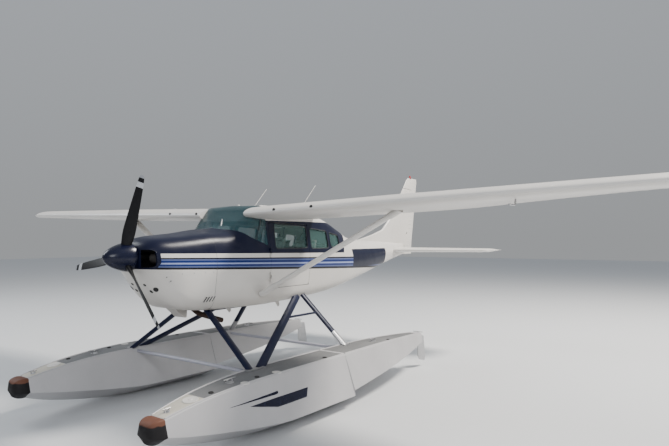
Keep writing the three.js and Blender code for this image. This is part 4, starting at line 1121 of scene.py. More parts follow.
def wing_surface(side, kind, span, name):
    ends = (span[0] + RUN, span[1] - RUN)
    xs = [ends[0], 1200, 1900, 2540, 2800, ends[1]] if kind == "flap" else [ends[0], 3800, 4500, ends[1]]
    stations = [wing_station(x, side) for x in xs]
    fractions = [hinge_fraction(s, kind) for s in stations]
    line = hinge_line(stations, fractions)
    (a, ra), (b, rb) = line
    rings = []
    for x, s, f in zip(xs, stations, fractions):
        t = (x - ends[0]) / (ends[1] - ends[0])
        rings.append(s.rear_ring(f, a.lerp(b, t), ra + (rb - ra) * t))
    return gather(name, [polish(loft(name, rings)), pin(line, RUN - PIN_RUN)])


for side, label in SIDES:
    dress(wing_panel(side, f"wing_{label}_skin"), WHITE_PAINT, stands_for=[f"wing_{label}"])
    for kind, span in (("flap", FLAP_X), ("aileron", AILERON_X)):
        surface = wing_surface(side, kind, span, f"{kind}_{label}_skin")
        dress(surface, WHITE_PAINT, f"{kind}_{label}", [f"{kind}_{label}"])
print("wing stations", len(WING))

# %% [markdown]
# ## Tail surfaces
#
# The stabilizer and the fin are thin symmetric sections. The elevator is one piece from tip to
# tip on a tube, cut back in the middle so that the rudder can swing. The rudder's full-width
# horn sits on top of the fin and balances it, and a low fillet leads from the body up to the fin.

# %% Make the stabilizer and the elevator
STAB_TIP_X, STAB_TIP_ROUND, ELEVATOR_ROOT_X, ELEVATOR_CUT = 1980, 90, 105, 430
STABILIZER = [(5700, 6950), (6030, 6850)]   # front and rear edge at the middle and at the tip


def tail_station(x, side, thin=1.0):
    t = x / STAB_TIP_X
    lead = STABILIZER[0][0] + (STABILIZER[1][0] - STABILIZER[0][0]) * t
    trail = STABILIZER[0][1] + (STABILIZER[1][1] - STABILIZER[0][1]) * t
    return Station((side * x, lead, STAB_Z), (0, 1, 0), (0, 0, 1), trail - lead, 0.085 * thin)


def tip_stations(side, root):
    """Stations out to a tip that thins along a quarter ellipse."""
    start = STAB_TIP_X - STAB_TIP_ROUND
    places = [(root, 1.0), (start, 1.0)]
    for turn in (radians(a) for a in (25, 45, 60, 75, 90)):
        places.append((start + STAB_TIP_ROUND * sin(turn), max(0.3, cos(turn))))
    return [tail_station(x, side, thin) for x, thin in places]


def tail_line(side):
    stations = [tail_station(x, side) for x in (ELEVATOR_ROOT_X, STAB_TIP_X)]
    return hinge_line(stations, [s.fraction(STAB_HINGE_Y) for s in stations])


def stabilizer_skin():
    halves = []
    for side in (1, -1):
        stations = tip_stations(side, 0)
        blunt = BLUNT * tail_station(STAB_TIP_X, side).radius(0.6)
        rings = [s.front_ring(s.fraction(STAB_HINGE_Y) - blunt / s.chord) for s in stations]
        halves.append(loft("half", rings))
    whole = carve(halves[0], halves[1], how="UNION")
    whole.name = "stabilizer_skin"
    carve(whole, block("end", -200, 200, TAIL_END_Y - 62, FAR * 3, -FAR, FAR))
    carve(whole, *[cove(tail_line(side), RUN) for side in (1, -1)])
    return polish(carve(whole, block("root", -ELEVATOR_ROOT_X, ELEVATOR_ROOT_X, STAB_HINGE_Y - 60, FAR * 3,
                                     -FAR, FAR)))


def elevator_skin():
    parts = []
    for side in (1, -1):
        stations = tip_stations(side, ELEVATOR_ROOT_X)
        half = loft("half", [s.rear_ring(s.fraction(STAB_HINGE_Y)) for s in stations])
        plan = [(90, STAB_HINGE_Y + 70), (90, 7100), (320, 7100), (285, STAB_HINGE_Y + ELEVATOR_CUT)]
        swing = loft("swing", [[(side * x, y, z) for x, y in plan] for z in (-600, 600)])
        parts.append(polish(carve(half, swing)))
    reach = ELEVATOR_ROOT_X + 20
    parts.append(tube("tube", [(-reach, STAB_HINGE_Y, STAB_Z), (reach, STAB_HINGE_Y, STAB_Z)], TUBE_R, 24))
    return gather("elevator_skin", parts)


dress(stabilizer_skin(), WHITE_PAINT, stands_for=["stabilizer"])
dress(elevator_skin(), WHITE_PAINT, "elevator", ["elevator"])
print("tail span mm", 2 * STAB_TIP_X)

# %% Make the fin and the rudder
FIN = [  # z, front edge, rear edge
    (60, 5620, 6960), (560, 5880, 7060), (1000, 6270, 7150), (1500, 6710, 7240), (1560, 6800, 7232)]
FILLET = [  # y, top z, half width
    (4300, 150, 5), (4700, 212, 12), (5100, 285, 17), (5560, 395, 26), (5900, 640, 30)]
RUDDER_HINGE_Y, RUDDER_LEAN, RUDDER_FOOT_Z = 6585, 0.285, -130
RUDDER_THIN = {1530: 0.9, 1548: 0.65, 1560: 0.3}   # the top rounds off at these heights
HORN_Z, HORN_RISE, HORN_RUN = (1290, 1250), 120, 12
LUGS, LUG_HALF = (330, 900), 11


def hinge_y(z):
    return RUDDER_HINGE_Y + RUDDER_LEAN * z


def fin_station(z, thin=1.0):
    i = max(0, min(len(FIN) - 2, sum(1 for row in FIN if row[0] <= z) - 1))
    t = (z - FIN[i][0]) / (FIN[i + 1][0] - FIN[i][0])
    lead, trail = (FIN[i][c] + (FIN[i + 1][c] - FIN[i][c]) * t for c in (1, 2))
    if z < FIN[0][0]:
        lead, trail = FIN[0][1:]
    return Station((0, lead, z), (0, 1, 0), (1, 0, 0), trail - lead, 0.075 * thin)


def horn_cut(name, lift):
    front = HORN_Z[0] + lift + HORN_RISE
    outline = [(5000, front), (7600, HORN_Z[1] + lift), (7600, 2500), (5000, 2500)]
    return prism(name, outline, -200, 200)


def fin_skin():
    zs = [60, 200, 400, 560, 780, 1000, 1330]
    rings = []
    for z in zs:
        s = fin_station(z)
        f = s.fraction(hinge_y(z))
        rings.append(s.front_ring(f - BLUNT * s.radius(f) / s.chord))
    blade = loft("fin_skin", rings)
    fillet = []
    for y, top, half in FILLET:
        arc = [(half * cos(radians(a)), top - 40 + 40 * sin(radians(a))) for a in range(0, 181, 15)]
        fillet.append([(half * 1.8, y, 40)] + [(x, y, z) for x, z in arc] + [(-half * 1.8, y, 40)])
    blade = carve(blade, loft("fillet", fillet), how="UNION")
    room = tube("room", [(-300, STAB_HINGE_Y, STAB_Z), (300, STAB_HINGE_Y, STAB_Z)], 65, 24)
    carve(blade, room)
    for z0, z1 in ((60, 560), (560, 1000), (1000, 1400)):
        stations = [fin_station(z) for z in (z0, z1)]
        carve(blade, cove(hinge_line(stations, [s.fraction(hinge_y(s.origin.z)) for s in stations]), RUN, 20))
    carve(blade, horn_cut("horn", 0))
    lugs = [block("lug", -9, 9, hinge_y(z) - 75, hinge_y(z) - 13, z - LUG_HALF, z + LUG_HALF) for z in LUGS]
    return gather("fin_skin", [polish(blade)] + lugs)


def rudder_skin():
    rings = []
    for z in (RUDDER_FOOT_Z, 0, 60, 300, 560, 1000, 1250, 1500, *RUDDER_THIN):
        s = fin_station(z, RUDDER_THIN.get(z, 1.0))
        rings.append(s.rear_ring(s.fraction(hinge_y(z))))
    blade = loft("rudder_skin", rings)
    horn_zs = (1150, 1500, *RUDDER_THIN)
    horn = loft("horn", [fin_station(z, RUDDER_THIN.get(z, 1.0)).front_ring() for z in horn_zs])
    carve(horn, horn_cut("keep", HORN_RUN), how="INTERSECT")
    carve(blade, horn, how="UNION")
    carve(blade, *[block("slot", -60, 60, hinge_y(z) - 80, hinge_y(z) + 22, z - 24, z + 24) for z in LUGS])
    ends = [(0, hinge_y(z), z) for z in (LUGS[0] - 60, LUGS[1] + 60)]
    return gather("rudder_skin", [polish(blade), tube("pin", ends, 9, 14)])


dress(fin_skin(), WHITE_PAINT, stands_for=["fin"])
dress(rudder_skin(), WHITE_PAINT, "rudder", ["rudder"])
print("fin stations", len(FIN))

# %% [markdown]
# ## Floats
#
# A float is a long metal hull with a flat deck, flat sides, a hard corner called the chine and a
# V-shaped bottom that breaks at the step, so that the hull comes free at take-off. Frames for
# the part ahead of the step and the part behind it are two tables, each with its own smooth
# curve. The bow ends in a rubber bumper, because it touches first when the aircraft is moored.

# %% Frames and hulls of the floats
FLOAT_X, DECK_Z, KEEL_Z, STEP_Y, BOW_Y = 1300, -1390, -2100, 1500, -1905
BUMPER_Y = -1715                       # where the rubber begins
FOREBODY = [  # y, deck z, half width of the deck, chine z, half width at the chine, keel z
    (-1800, -1575, 108, -1712, 132, -1790), (-1450, -1505, 140, -1765, 226, -1900),
    (-1000, -1442, 175, -1822, 295, -1990), (-400, -1402, 210, -1890, 355, -2070),
    (100, DECK_Z - 1, 225, -1925, 382, KEEL_Z), (300, DECK_Z, 225, -1927, 383, KEEL_Z),
    (STEP_Y, DECK_Z, 225, -1935, 385, KEEL_Z),
]
AFTERBODY = [
    (STEP_Y + 4, DECK_Z, 225, -1860, 380, -1985), (2500, -1395, 205, -1790, 320, -1890),
    (3500, -1425, 150, -1705, 220, -1775), (4360, -1465, 75, -1610, 100, -1640),
]
fore_at, aft_at = smooth_table(FOREBODY), smooth_table(AFTERBODY)


def float_row(y):
    return fore_at(y) if y <= STEP_Y else aft_at(y)


def float_ring(side, y):
    deck, deck_half, chine, chine_half, keel = float_row(y)
    lean = (chine_half - deck_half) / max(1.0, deck - 14 - chine)
    half = [(deck_half - 34, deck + 4), (deck_half - 20, deck + 3.6), (deck_half - 8, deck - 1),
            (deck_half - 1, deck - 10), (deck_half + 4 * lean, deck - 20),
            (chine_half - 1, chine + 6), (chine_half, chine), (chine_half - 3, chine - 5),
            (chine_half * 0.62, chine + (keel - chine) * 0.40), (15, keel)]
    loop = half + [(-x, z) for x, z in half[::-1]]
    return [(side * FLOAT_X + x, y, z) for x, z in loop]


def float_hull(side, name):
    fore = [BUMPER_Y - 12, -1660, -1600, -1540] + list(range(-1450, 100, 110)) + [100, 560, 1030, STEP_Y]
    aft = [STEP_Y + 4] + list(range(1600, 4300, 160)) + [4300, 4360]
    rings = [float_ring(side, y) for y in fore + aft]
    return polish(loft(name, rings), 22)


print("float length mm", AFTERBODY[-1][0] - BOW_Y)

# %% Rubber bow bumpers
BROWN_TOP_Z = (0.508, 0.520)             # metres; the rubber browns from the first height to the second


def bumper(side, name):
    deck, *_, keel = float_row(BUMPER_Y)
    middle = (deck + keel) / 2
    ring = float_ring(side, BUMPER_Y)
    rings = []
    for k in range(0, 91, 9):
        share = max(0.34, cos(radians(k)) ** 0.5)
        y = BUMPER_Y + (BOW_Y - BUMPER_Y) * sin(radians(k))
        grown = 1.0 + 0.05 * sin(radians(min(90, k * 4)))
        rings.append([(side * FLOAT_X + (p[0] - side * FLOAT_X) * share * grown, y,
                       middle + (p[2] - middle) * share * grown + 8 * sin(radians(k))) for p in ring])
    return polish(loft(name, rings), 60)


def bumper_finish():
    """Black rubber that turns brown on top, above a set height."""
    made = Finish("bow bumper rubber")
    _, _, z = made.axes()
    brown_top = made.between(made.sum("MULTIPLY_ADD", made.noise(14.0), 0.03, z), 0.0, 1.0, *BROWN_TOP_Z)
    made.bump(made.noise(90.0), 0.25)
    return made.done(made.mix(brown_top, (0.010, 0.009, 0.010), (0.13, 0.055, 0.035)),
                     made.between(made.noise(30.0), 0.45, 0.75), specular=0.2)


BUMPER_RUBBER = bumper_finish()
print("rubber mm", BUMPER_Y - BOW_Y)

# %% Deck plates and water rudders


def deck_plate(name, side, y0, y1, margin, lift, thick=3.0):
    """A thin panel that lies on the deck between two places along it."""
    count = max(2, round((y1 - y0) / 120) + 1)
    rings = []
    for n in range(count):
        y = y0 + (y1 - y0) * n / (count - 1)
        deck, half, *_ = float_row(y)
        half -= margin
        low, high = deck + 4 + lift - thick, deck + 4 + lift
        outline = [(-half, low), (half, low), (half, high - 1), (half - 2, high), (2 - half, high),
                   (-half, high - 1)]
        rings.append([(side * FLOAT_X + x, y, z) for x, z in outline])
    return polish(loft(name, rings), 30)


WATER_RUDDER = {"y": 4385, "top": -1470, "bottom": -2010, "chord": 300, "post": 13}
RIB_ZS = (-1640, -1790, -1900)


def water_rudder(side, name):
    y, top, bottom, chord, post = WATER_RUDDER.values()
    x = side * FLOAT_X
    outline = [(y + 12, top - 60), (y + chord * 0.75, top - 75), (y + chord, bottom + 90),
               (y + chord * 0.9, bottom), (y + 30, bottom + 60)]
    blade = prism("blade", outline, x - 5, x + 5, 40, 6)
    ribs = [tube("rib", [(x, y + 20, z), (x, y + chord * 0.8, z)], [8, 6], 10) for z in RIB_ZS]
    shaft = tube("shaft", [(x, y, top + 20), (x, y, bottom + 120)], post, 18)
    web = block("web", x - 6, x + 6, y, y + 60, bottom + 130, top - 60)
    tiller = block("tiller", x - 90, x + 90, y - 9, y + 9, top + 12, top + 20)
    return gather(name, [blade, shaft, web, tiller] + ribs)


# %% Dress the floats
DECK_PLATES = [  # name, from y, to y, margin, lift, finish
    ("deck_grip", -1170, 1490, 34, 1.2, DECK_GRIT), ("deck_grip_rear", 1560, 4150, 30, 1.2, DECK_GRIT),
    ("bow_panel", -1708, -1180, 26, 2.0, CREAM),
]
for side, label in SIDES:
    rear = WATER_RUDDER["y"] - WATER_RUDDER["post"] - PIN_RUN
    bracket = block("bracket", side * FLOAT_X - 30, side * FLOAT_X + 30, 4340, rear, -1600, -1500)
    dress(gather(f"float_{label}_hull", [float_hull(side, "hull"), bracket]), FLOAT_PAINT,
          stands_for=[f"float_{label}"])
    dress(bumper(side, f"bumper_{label}_rubber"), BUMPER_RUBBER, stands_for=[f"bumper_{label}"])
    dress(water_rudder(side, f"water_rudder_{label}_blade"), METAL, f"water_rudder_{label}",
          [f"water_rudder_{label}"])
    for name, y0, y1, margin, lift, finish in DECK_PLATES:
        dress(deck_plate(f"{name}_{label}", side, y0, y1, margin, lift), finish)
print("pieces so far", len(dressed))

# %% [markdown]
# ## Struts
#
# Every strut is drawn from tube with a streamlined section, blunt in front and fine behind, so
# that it slips through the air. The section is a formula, and each strut is that section
# carried along a straight line. The cuffs and foot plates come later, with the fittings.

# %% Sizes and section of the struts
WING_STRUT = {"body": (585, 850, -560), "wing": (2540, 1100, 560), "section": (158, 62)}
FITTINGS = {
    "front": ((205, 100, -720), (1160, -90, DECK_Z - 20)),
    "diagonal": ((500, 1800, -660), (1160, 60, DECK_Z - 20)),
    "rear": ((500, 1950, -655), (1160, 2130, DECK_Z - 20)),
}
STRUT_CHORD, STRUT_THICK = 118, 54
STEP_BAR_Z, STEP_BAR_R = -920, 17
SPREADER_Y, SPREADER_DROP, SPREADER_CHORD, SPREADER_THICK = (-15, 2060), 45, 88, 46


def streamlined(name, start, end, chord, thick, scales=(1.0, 1.0)):
    """A bar whose section is a teardrop, the blunt end forward."""
    a, b = Vector(start), Vector(end)
    up = (b - a).normalized()
    aft = Vector((0, 1, 0)) if abs(up.y) < 0.9 else Vector((1, 0, 0))
    chord_axis = (aft - up * aft.dot(up)).normalized()
    side_axis = chord_axis.cross(up)
    rings = []
    for k, scale in enumerate(scales):
        centre = a.lerp(b, k / (len(scales) - 1))
        ring = []
        for step in range(28):
            angle = 2 * pi * step / 28
            along = -cos(angle)
            across = sin(angle) * (1.0 - 0.28 * along) * 0.97
            ring.append(tuple(centre + chord_axis * along * chord / 2 * scale
                              + side_axis * across * thick / 2 * scale))
        rings.append(ring)
    return polish(loft(name, rings), 40)


def mirrored(point, side):
    return (side * point[0], point[1], point[2])


def on_line(a, b, z):
    return Vector(a).lerp(Vector(b), (z - a[2]) / (b[2] - a[2]))


# %% Dress the struts
for side, label in SIDES:
    body_end, wing_end = (mirrored(WING_STRUT[k], side) for k in ("body", "wing"))
    strut = streamlined(f"wing_strut_{label}_tube", body_end, wing_end, *WING_STRUT["section"])
    dress(strut, WHITE_PAINT, stands_for=[f"wing_strut_{label}"])
    for kind, (top, foot) in FITTINGS.items():
        top, foot = mirrored(top, side), mirrored(foot, side)
        parts = [streamlined("strut", top, foot, STRUT_CHORD, STRUT_THICK)]
        if kind == "rear":
            a = on_line(top, foot, STEP_BAR_Z)
            b = on_line(*[mirrored(p, side) for p in FITTINGS["diagonal"]], STEP_BAR_Z)
            parts.append(tube("step", [a, b.lerp(a, 0.02)], STEP_BAR_R, 18))
        dress(gather(f"float_strut_{kind}_{label}_tube", parts), STRUT_PAINT,
              stands_for=[f"float_strut_{kind}_{label}"])
for y, label in zip(SPREADER_Y, ("front", "rear")):
    reach, z = FLOAT_X - 225, DECK_Z - SPREADER_DROP
    bar = streamlined(f"spreader_{label}_tube", (-reach, y, z), (reach, y, z), SPREADER_CHORD, SPREADER_THICK)
    dress(bar, FLOAT_PAINT, stands_for=[f"spreader_bar_{label}"])
print("struts", 2 * (1 + len(FITTINGS)) + len(SPREADER_Y))

# %% [markdown]
# ## Propeller and spinner
#
# Three blades leave a hub inside the spinner. A blade twists, because its tip moves much faster
# than its root, so its sections come from a table of radius, chord, thickness and twist with a
# smooth curve through it. The paint is black, with pale bands near the tips that make the turning
# disc visible. The bands depend only on the distance from the shaft, so the shader works them out.

# %% Shape the blades
NOSE_Y, SPINNER_R, SPINNER_REAR_Y, PROP_Y, PROP_R = -1420, 180, -1045, -1124, 1040
BLADE_ANGLES = (21, 141, 261)
BLADE = [  # radius, chord, thickness, twist from the plane of rotation
    (60, 90, 90, 62), (190, 132, 66, 50), (330, 155, 42, 42), (480, 146, 28, 34), (640, 128, 20, 28),
    (800, 110, 15, 23), (920, 93, 11, 20), (1005, 72, 8, 18), (PROP_R, 38, 5, 17),
]
blade_at = smooth_table(BLADE)


def blade(angle, grown=0.0, last=PROP_R):
    rings = []
    radii = [r for r in list(range(60, 960, 45)) + [975, 995, 1012, 1025, 1034, PROP_R] if r <= last]
    for radius in radii:
        chord, thick, twist = blade_at(radius)
        ring = []
        for k in range(32):
            a = 2 * pi * k / 32
            flat = 0.45 + 0.55 * max(0.0, min(1.0, (320 - radius) / 200)) if sin(a) < 0 else 1.0
            p = Vector(((chord / 2 + grown) * cos(a), (thick / 2 * flat + grown) * sin(a), radius))
            p.rotate(Matrix.Rotation(radians(twist), 3, "Z"))
            p.rotate(Matrix.Rotation(radians(angle), 3, "Y"))
            ring.append((p.x, p.y + PROP_Y, p.z))
        rings.append(ring)
    return polish(loft("blade", rings), 50)


# %% Paint the blades
TIP_BAND, TIP_EDGE = (0.886, 0.951), (1.003, 1.1)   # metres from the shaft


def blade_paint():
    made = Finish("propeller paint")
    x, _, z = made.axes()
    rise = made.sum("SUBTRACT", z, FRAME_SHIFT.z)
    radius = made.sum("SQRT", made.sum("ADD", made.sum("MULTIPLY", x, x), made.sum("MULTIPLY", rise, rise)))

    def band(low, high):
        return made.all_of(made.over(radius, low), made.under(radius, high))

    chips = made.noise(60.0, 4.0)
    color = made.mix(made.noise(9.0), (0.004, 0.004, 0.005), (0.009, 0.009, 0.011))
    color = made.mix(band(*TIP_BAND), color, (0.50, 0.51, 0.53))
    color = made.mix(band(*TIP_EDGE), color, (0.32, 0.33, 0.35))
    color = made.mix(made.all_of(made.over(chips, 0.72), 0.5), color, (0.10, 0.10, 0.10))
    made.bump(made.noise(70.0), 0.08)
    return made.done(color, made.between(chips, 0.42, 0.66), specular=0.2)


# %% Turn the spinner and the hub
HUB = [(62, -68), (65, -65), (65, 110), (60, 113.3)]


def spinner_skin():
    rear = SPINNER_REAR_Y - NOSE_Y
    profile = [(4, 0), (14, 2), (30, 8), (52, 24), (75, 48), (98, 80), (120, 122), (140, 172), (156, 220),
               (168, 265), (176, 305), (SPINNER_R, 340), (SPINNER_R, rear - 2), (SPINNER_R - 2, rear),
               (70, rear), (70, rear - 60), (4, rear - 60)]
    skin = lathe("spinner_skin", profile, (0, NOSE_Y, 0), "Y", 64)
    for angle in BLADE_ANGLES:
        carve(skin, blade(angle, 5.0, 330))
    return polish(skin, 30)


hub = lathe("hub", HUB, (0, PROP_Y, 0), "Y", 36)
dress(gather("propeller_blades", [hub] + [blade(a) for a in BLADE_ANGLES]), blade_paint(),
      "propeller", ["propeller"])
dress(spinner_skin(), NAVY_PAINT, "propeller", ["spinner"])

for node, finish in (("engine", DARK_METAL), ("instrument_panel", TRIM)):
    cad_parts[node].material_slots[0].material = finish
print("blades", len(BLADE_ANGLES), "disc mm", 2 * PROP_R)

# %% [markdown]
# ## Small shapes that repeat
#
# Rivets, cooling fins and louvres are one small shape set many times along a line. Each could be
# copied in a loop, but Geometry Nodes do it with sizes that stay easy to change: the tree turns
# a line into evenly spaced points, puts the shape on each and makes plain faces of the result.

# %% Tools for building a tree


def node_tree(name, **sizes):
    """An empty tree with a named input for each size."""
    tree = bpy.data.node_groups.new(name, "GeometryNodeTree")
    for way in ("INPUT", "OUTPUT"):
        tree.interface.new_socket("Geometry", in_out=way, socket_type="NodeSocketGeometry")
    for key, value in sizes.items():
        kind = "NodeSocketInt" if isinstance(value, int) else "NodeSocketFloat"
        tree.interface.new_socket(key, in_out="INPUT", socket_type=kind).default_value = value
    tree.interface.new_socket("finish", in_out="INPUT", socket_type="NodeSocketMaterial")
    return tree, tree.nodes.new("NodeGroupInput").outputs


def wire(tree, *pairs):
    for source, target in pairs:
        tree.links.new(source, target)


def close_tree(tree, sizes, points, shape):
    """Every tree ends the same way: a shape on each point, real faces, and one finish."""
    place, real, finish = (tree.nodes.new("GeometryNode" + kind)
                           for kind in ("InstanceOnPoints", "RealizeInstances", "SetMaterial"))
    end = tree.nodes.new("NodeGroupOutput")
    wire(tree, (points, place.inputs["Points"]), (shape, place.inputs["Instance"]),
         (place.outputs[0], real.inputs[0]), (real.outputs[0], finish.inputs["Geometry"]),
         (sizes["finish"], finish.inputs["Material"]), (finish.outputs[0], end.inputs[0]))
    return tree


# %% Build the two trees


def rivet_tree():
    """Small domes along the edges of a mesh, evenly spaced."""
    tree, sizes = node_tree("rivets along lines", spacing=0.05, radius=0.0032)
    curve, evenly, dome = (tree.nodes.new("GeometryNode" + kind)
                           for kind in ("MeshToCurve", "ResampleCurve", "MeshIcoSphere"))
    evenly.mode = "LENGTH"
    wire(tree, (sizes[0], curve.inputs[0]), (curve.outputs[0], evenly.inputs["Curve"]),
         (sizes["spacing"], evenly.inputs["Length"]), (sizes["radius"], dome.inputs["Radius"]))
    return close_tree(tree, sizes, evenly.outputs[0], dome.outputs[0])


def row_tree():
    """The piece itself, repeated a number of times at one step along each axis."""
    tree, sizes = node_tree("copies in a row", count=8, x=0.0, y=0.0, z=0.0)
    line, step = tree.nodes.new("GeometryNodeMeshLine"), tree.nodes.new("ShaderNodeCombineXYZ")
    wire(tree, *[(sizes[axis], step.inputs[n]) for n, axis in enumerate("xyz")],
         (sizes["count"], line.inputs["Count"]), (step.outputs[0], line.inputs["Offset"]))
    return close_tree(tree, sizes, line.outputs[0], sizes[0])


RIVETS, ROW = rivet_tree(), row_tree()
print("trees", len(bpy.data.node_groups))

# %% Run a tree on a piece


def run_tree(piece, tree, **values):
    """Runs a tree on a piece and keeps its result as a plain mesh."""
    modifier = piece.modifiers.new("repeat", "NODES")
    modifier.node_group = tree
    for item in tree.interface.items_tree:
        if item.in_out == "INPUT" and item.name in values:
            modifier[item.identifier] = values[item.name]
    return settle(piece)


def row_of(piece, count, step, finish):
    x, y, z = (value * MM for value in step)
    return run_tree(piece, ROW, finish=finish, count=count, x=x, y=y, z=z)


def rivets(name, paths, finish, spacing=50, radius=3.2):
    """Rivet heads along lines that lie just under a skin."""
    points, edges = [], []
    for path in paths:
        edges += [(len(points) + n, len(points) + n + 1) for n in range(len(path) - 1)]
        points += [at(*p) for p in path]
    piece = new_piece(name, points, [], edges)
    run_tree(piece, RIVETS, finish=finish, spacing=spacing * MM, radius=radius * MM)
    print(name, "faces", len(piece.data.polygons))
    return dress(piece, finish)


# %% [markdown]
# ## Rivet rows
#
# Sheet metal shows how it is built by its rivets: rows along each rib and spar of a wing, round
# each frame of the tail cone, and along the deck edge, chine and frames of a float. A head stands
# little more than a millimetre proud, so each line runs two millimetres under the skin.

# %% Lines for the rivets of wings and floats
SINK = 2.0
RIB_PITCH, RIB_COUNT, RIB_X = 381, 13, 470
SPARS, SPAR_XS = (0.09, 0.27, 0.60), (450, 1500, 2540, 3060, 4200, 5290)
FLOAT_BAYS, BULKHEADS = ((-1690, 1480), (1520, 4300)), range(-1500, 4200, 380)
UNDER_DECK, OVER_CHINE = 22, 14


def rib_line(station, f0, f1, sign, count=9):
    return [station.point(f0 + (f1 - f0) * k / (count - 1), sign) - station.up * sign * SINK
            for k in range(count)]


def wing_rivets(side):
    paths = []
    for sign in (1, -1):
        for x in (RIB_X + RIB_PITCH * n for n in range(RIB_COUNT)):
            station = wing_station(x, side)
            last = hinge_fraction(station, "flap" if x < FLAP_X[1] else "aileron") - 0.05
            paths.append(rib_line(station, 0.02, last, sign))
        for f in SPARS:
            stations = [wing_station(x, side) for x in SPAR_XS]
            paths.append([s.point(f, sign) - s.up * sign * SINK for s in stations])
    return paths


def float_rivets(side):
    paths = []
    for hand in (1, -1):
        for y0, y1 in FLOAT_BAYS:
            upper, lower = [], []
            for y in (y0 + (y1 - y0) * n / 24 for n in range(25)):
                deck, deck_half, chine, chine_half, _ = float_row(y)
                for path, z in ((upper, deck - UNDER_DECK), (lower, chine + OVER_CHINE)):
                    x = deck_half + (chine_half - deck_half) * (deck - 14 - z) / (deck - 14 - chine)
                    path.append((side * FLOAT_X + hand * (x - SINK - 0.2), y, z))
            paths += [upper, lower]
        for y in BULKHEADS:
            deck, deck_half, chine, chine_half, _ = float_row(y)
            paths.append([(side * FLOAT_X + hand * (deck_half - SINK), y, deck - 30),
                          (side * FLOAT_X + hand * (chine_half - SINK), y, chine + 20)])
    return paths


# %% Lines round and along the body


def frame_line(y, inset=SINK):
    half = half_section(y, inset)
    return [(p.x, y, p.y) for p in half] + [(-p.x, y, p.y) for p in half[-2::-1]]


def body_lines(ys, zs):
    return [[(hand * skin_x(y, z, SINK), y, z) for y in ys] for z in zs for hand in (1, -1)]


tail_lines = [frame_line(y) for y in range(3170, 5700, 420)] + body_lines(range(3200, 6000, 200), (-90, 60))
belly_lines = body_lines(range(60, 3100, 190), (SILL_Z - 40, SILL_Z - 80))
fin_ribs = [rib_line(fin_station(z), 0.06, 0.48, sign) for z in (200, 450, 700, 950, 1180)
            for sign in (1, -1)]
print("lines on the body", len(tail_lines) + len(belly_lines))

# %% Rivet the skins
for side, label in SIDES:
    tail_ribs = [rib_line(tail_station(x, side), 0.05, 0.45, sign) for x in range(160, 1900, 290)
                 for sign in (1, -1)]
    rivets(f"wing_{label}_rivets", wing_rivets(side), WHITE_PAINT)
    rivets(f"float_{label}_rivets", float_rivets(side), FLOAT_PAINT, 55)
    rivets(f"stabilizer_{label}_rivets", tail_ribs, WHITE_PAINT)
rivets("fin_rivets", fin_ribs, WHITE_PAINT)
rivets("tail_cone_rivets", tail_lines, BODY_PAINT, 60)
rivets("belly_rivets", belly_lines, BODY_PAINT, 60)

# %% Mark the cowl's rear seam
SEAM_R, SEAM_SINK = 2.2, 0.8
dress(ring_tube("cowl_seam", frame_line(-2, SEAM_SINK), SEAM_R, 6), GASKET)

# %% [markdown]
# ## Fittings on the cowl
#
# Behind each air inlet one cylinder of the engine shows its cooling fins, a stack of thin discs.
# Low on each side are drains, a ringed port, a row of fasteners and four slanting louvres that
# let warm air out. Each is a small turned or drawn shape that sits on the skin at its real place.

# %% Set turned shapes on the skin


def on_skin(y, z, side=1, lift=0.0):
    return Vector((side * (skin_x(y, z) + lift), y, z))


def skin_out(y, z, side):
    """The direction out of the skin at a place on the side."""
    here = on_skin(y, z, side)
    along = on_skin(y + 8, z, side) - here
    up = on_skin(y, z + 8, side) - here
    out = along.cross(up).normalized()
    return out if out.x * side > 0 else -out


def stud(name, centre, out, profile, steps=24):
    """A profile of (radius, height) turned about the line out of a surface."""
    out = Vector(out).normalized()
    side = out.orthogonal().normalized()
    up = out.cross(side)
    rings = [circle(Vector(centre) + out * height, side * radius, up * radius, steps)
             for radius, height in profile]
    return polish(loft(name, rings), 35)


def body_studs(places):
    """One stud on each side of the body for every y, z and profile."""
    return [stud("stud", on_skin(y, z, side), skin_out(y, z, side), profile)
            for y, z, profile in places for side in (1, -1)]


# %% Cylinders and rims of the air inlets
CYLINDER_Y, CYLINDER_Z, FIN_COUNT, FIN_PITCH = -812, -18, 14, 9
FIN_DISC = [(40, 0), (74, 0.4), (75, 1.6), (74, 2.8), (40, 3.2)]
BARREL = [(40, -30), (56, -28), (56, 130), (40, 132)]
# The cylinders are dark metal, darkened further as painted shade inside the air inlets
SHADED_CYLINDER_METAL = painted("finned cylinder metal with painted shade", (0.075, 0.07, 0.068), 0.5, 0.2, 16.0, 90.0, 0.2,
                         metallic=0.6)
for side, label in SIDES:
    fin = lathe("fin", FIN_DISC, (side * 205, CYLINDER_Y, CYLINDER_Z), "X", 28)
    row_of(fin, FIN_COUNT, (side * FIN_PITCH, 0, 0), DARK_METAL)
    barrel = lathe("barrel", BARREL, (side * 235, CYLINDER_Y, CYLINDER_Z), "X", 28)
    dress(gather(f"front_cylinder_{label}", [fin, barrel]), SHADED_CYLINDER_METAL)
    rim = [(max(y, COWL_FRONT_Y + 10), z) for y, z in rounded(INLET, 60, 8) if y > COWL_FRONT_Y - 4]
    rim = tube(f"inlet_rim_{label}", [on_skin(y, z, side, 0.5) for y, z in rim], 5, 10)
    dress(rim, NAVY_PAINT)
print("fins", 2 * FIN_COUNT)

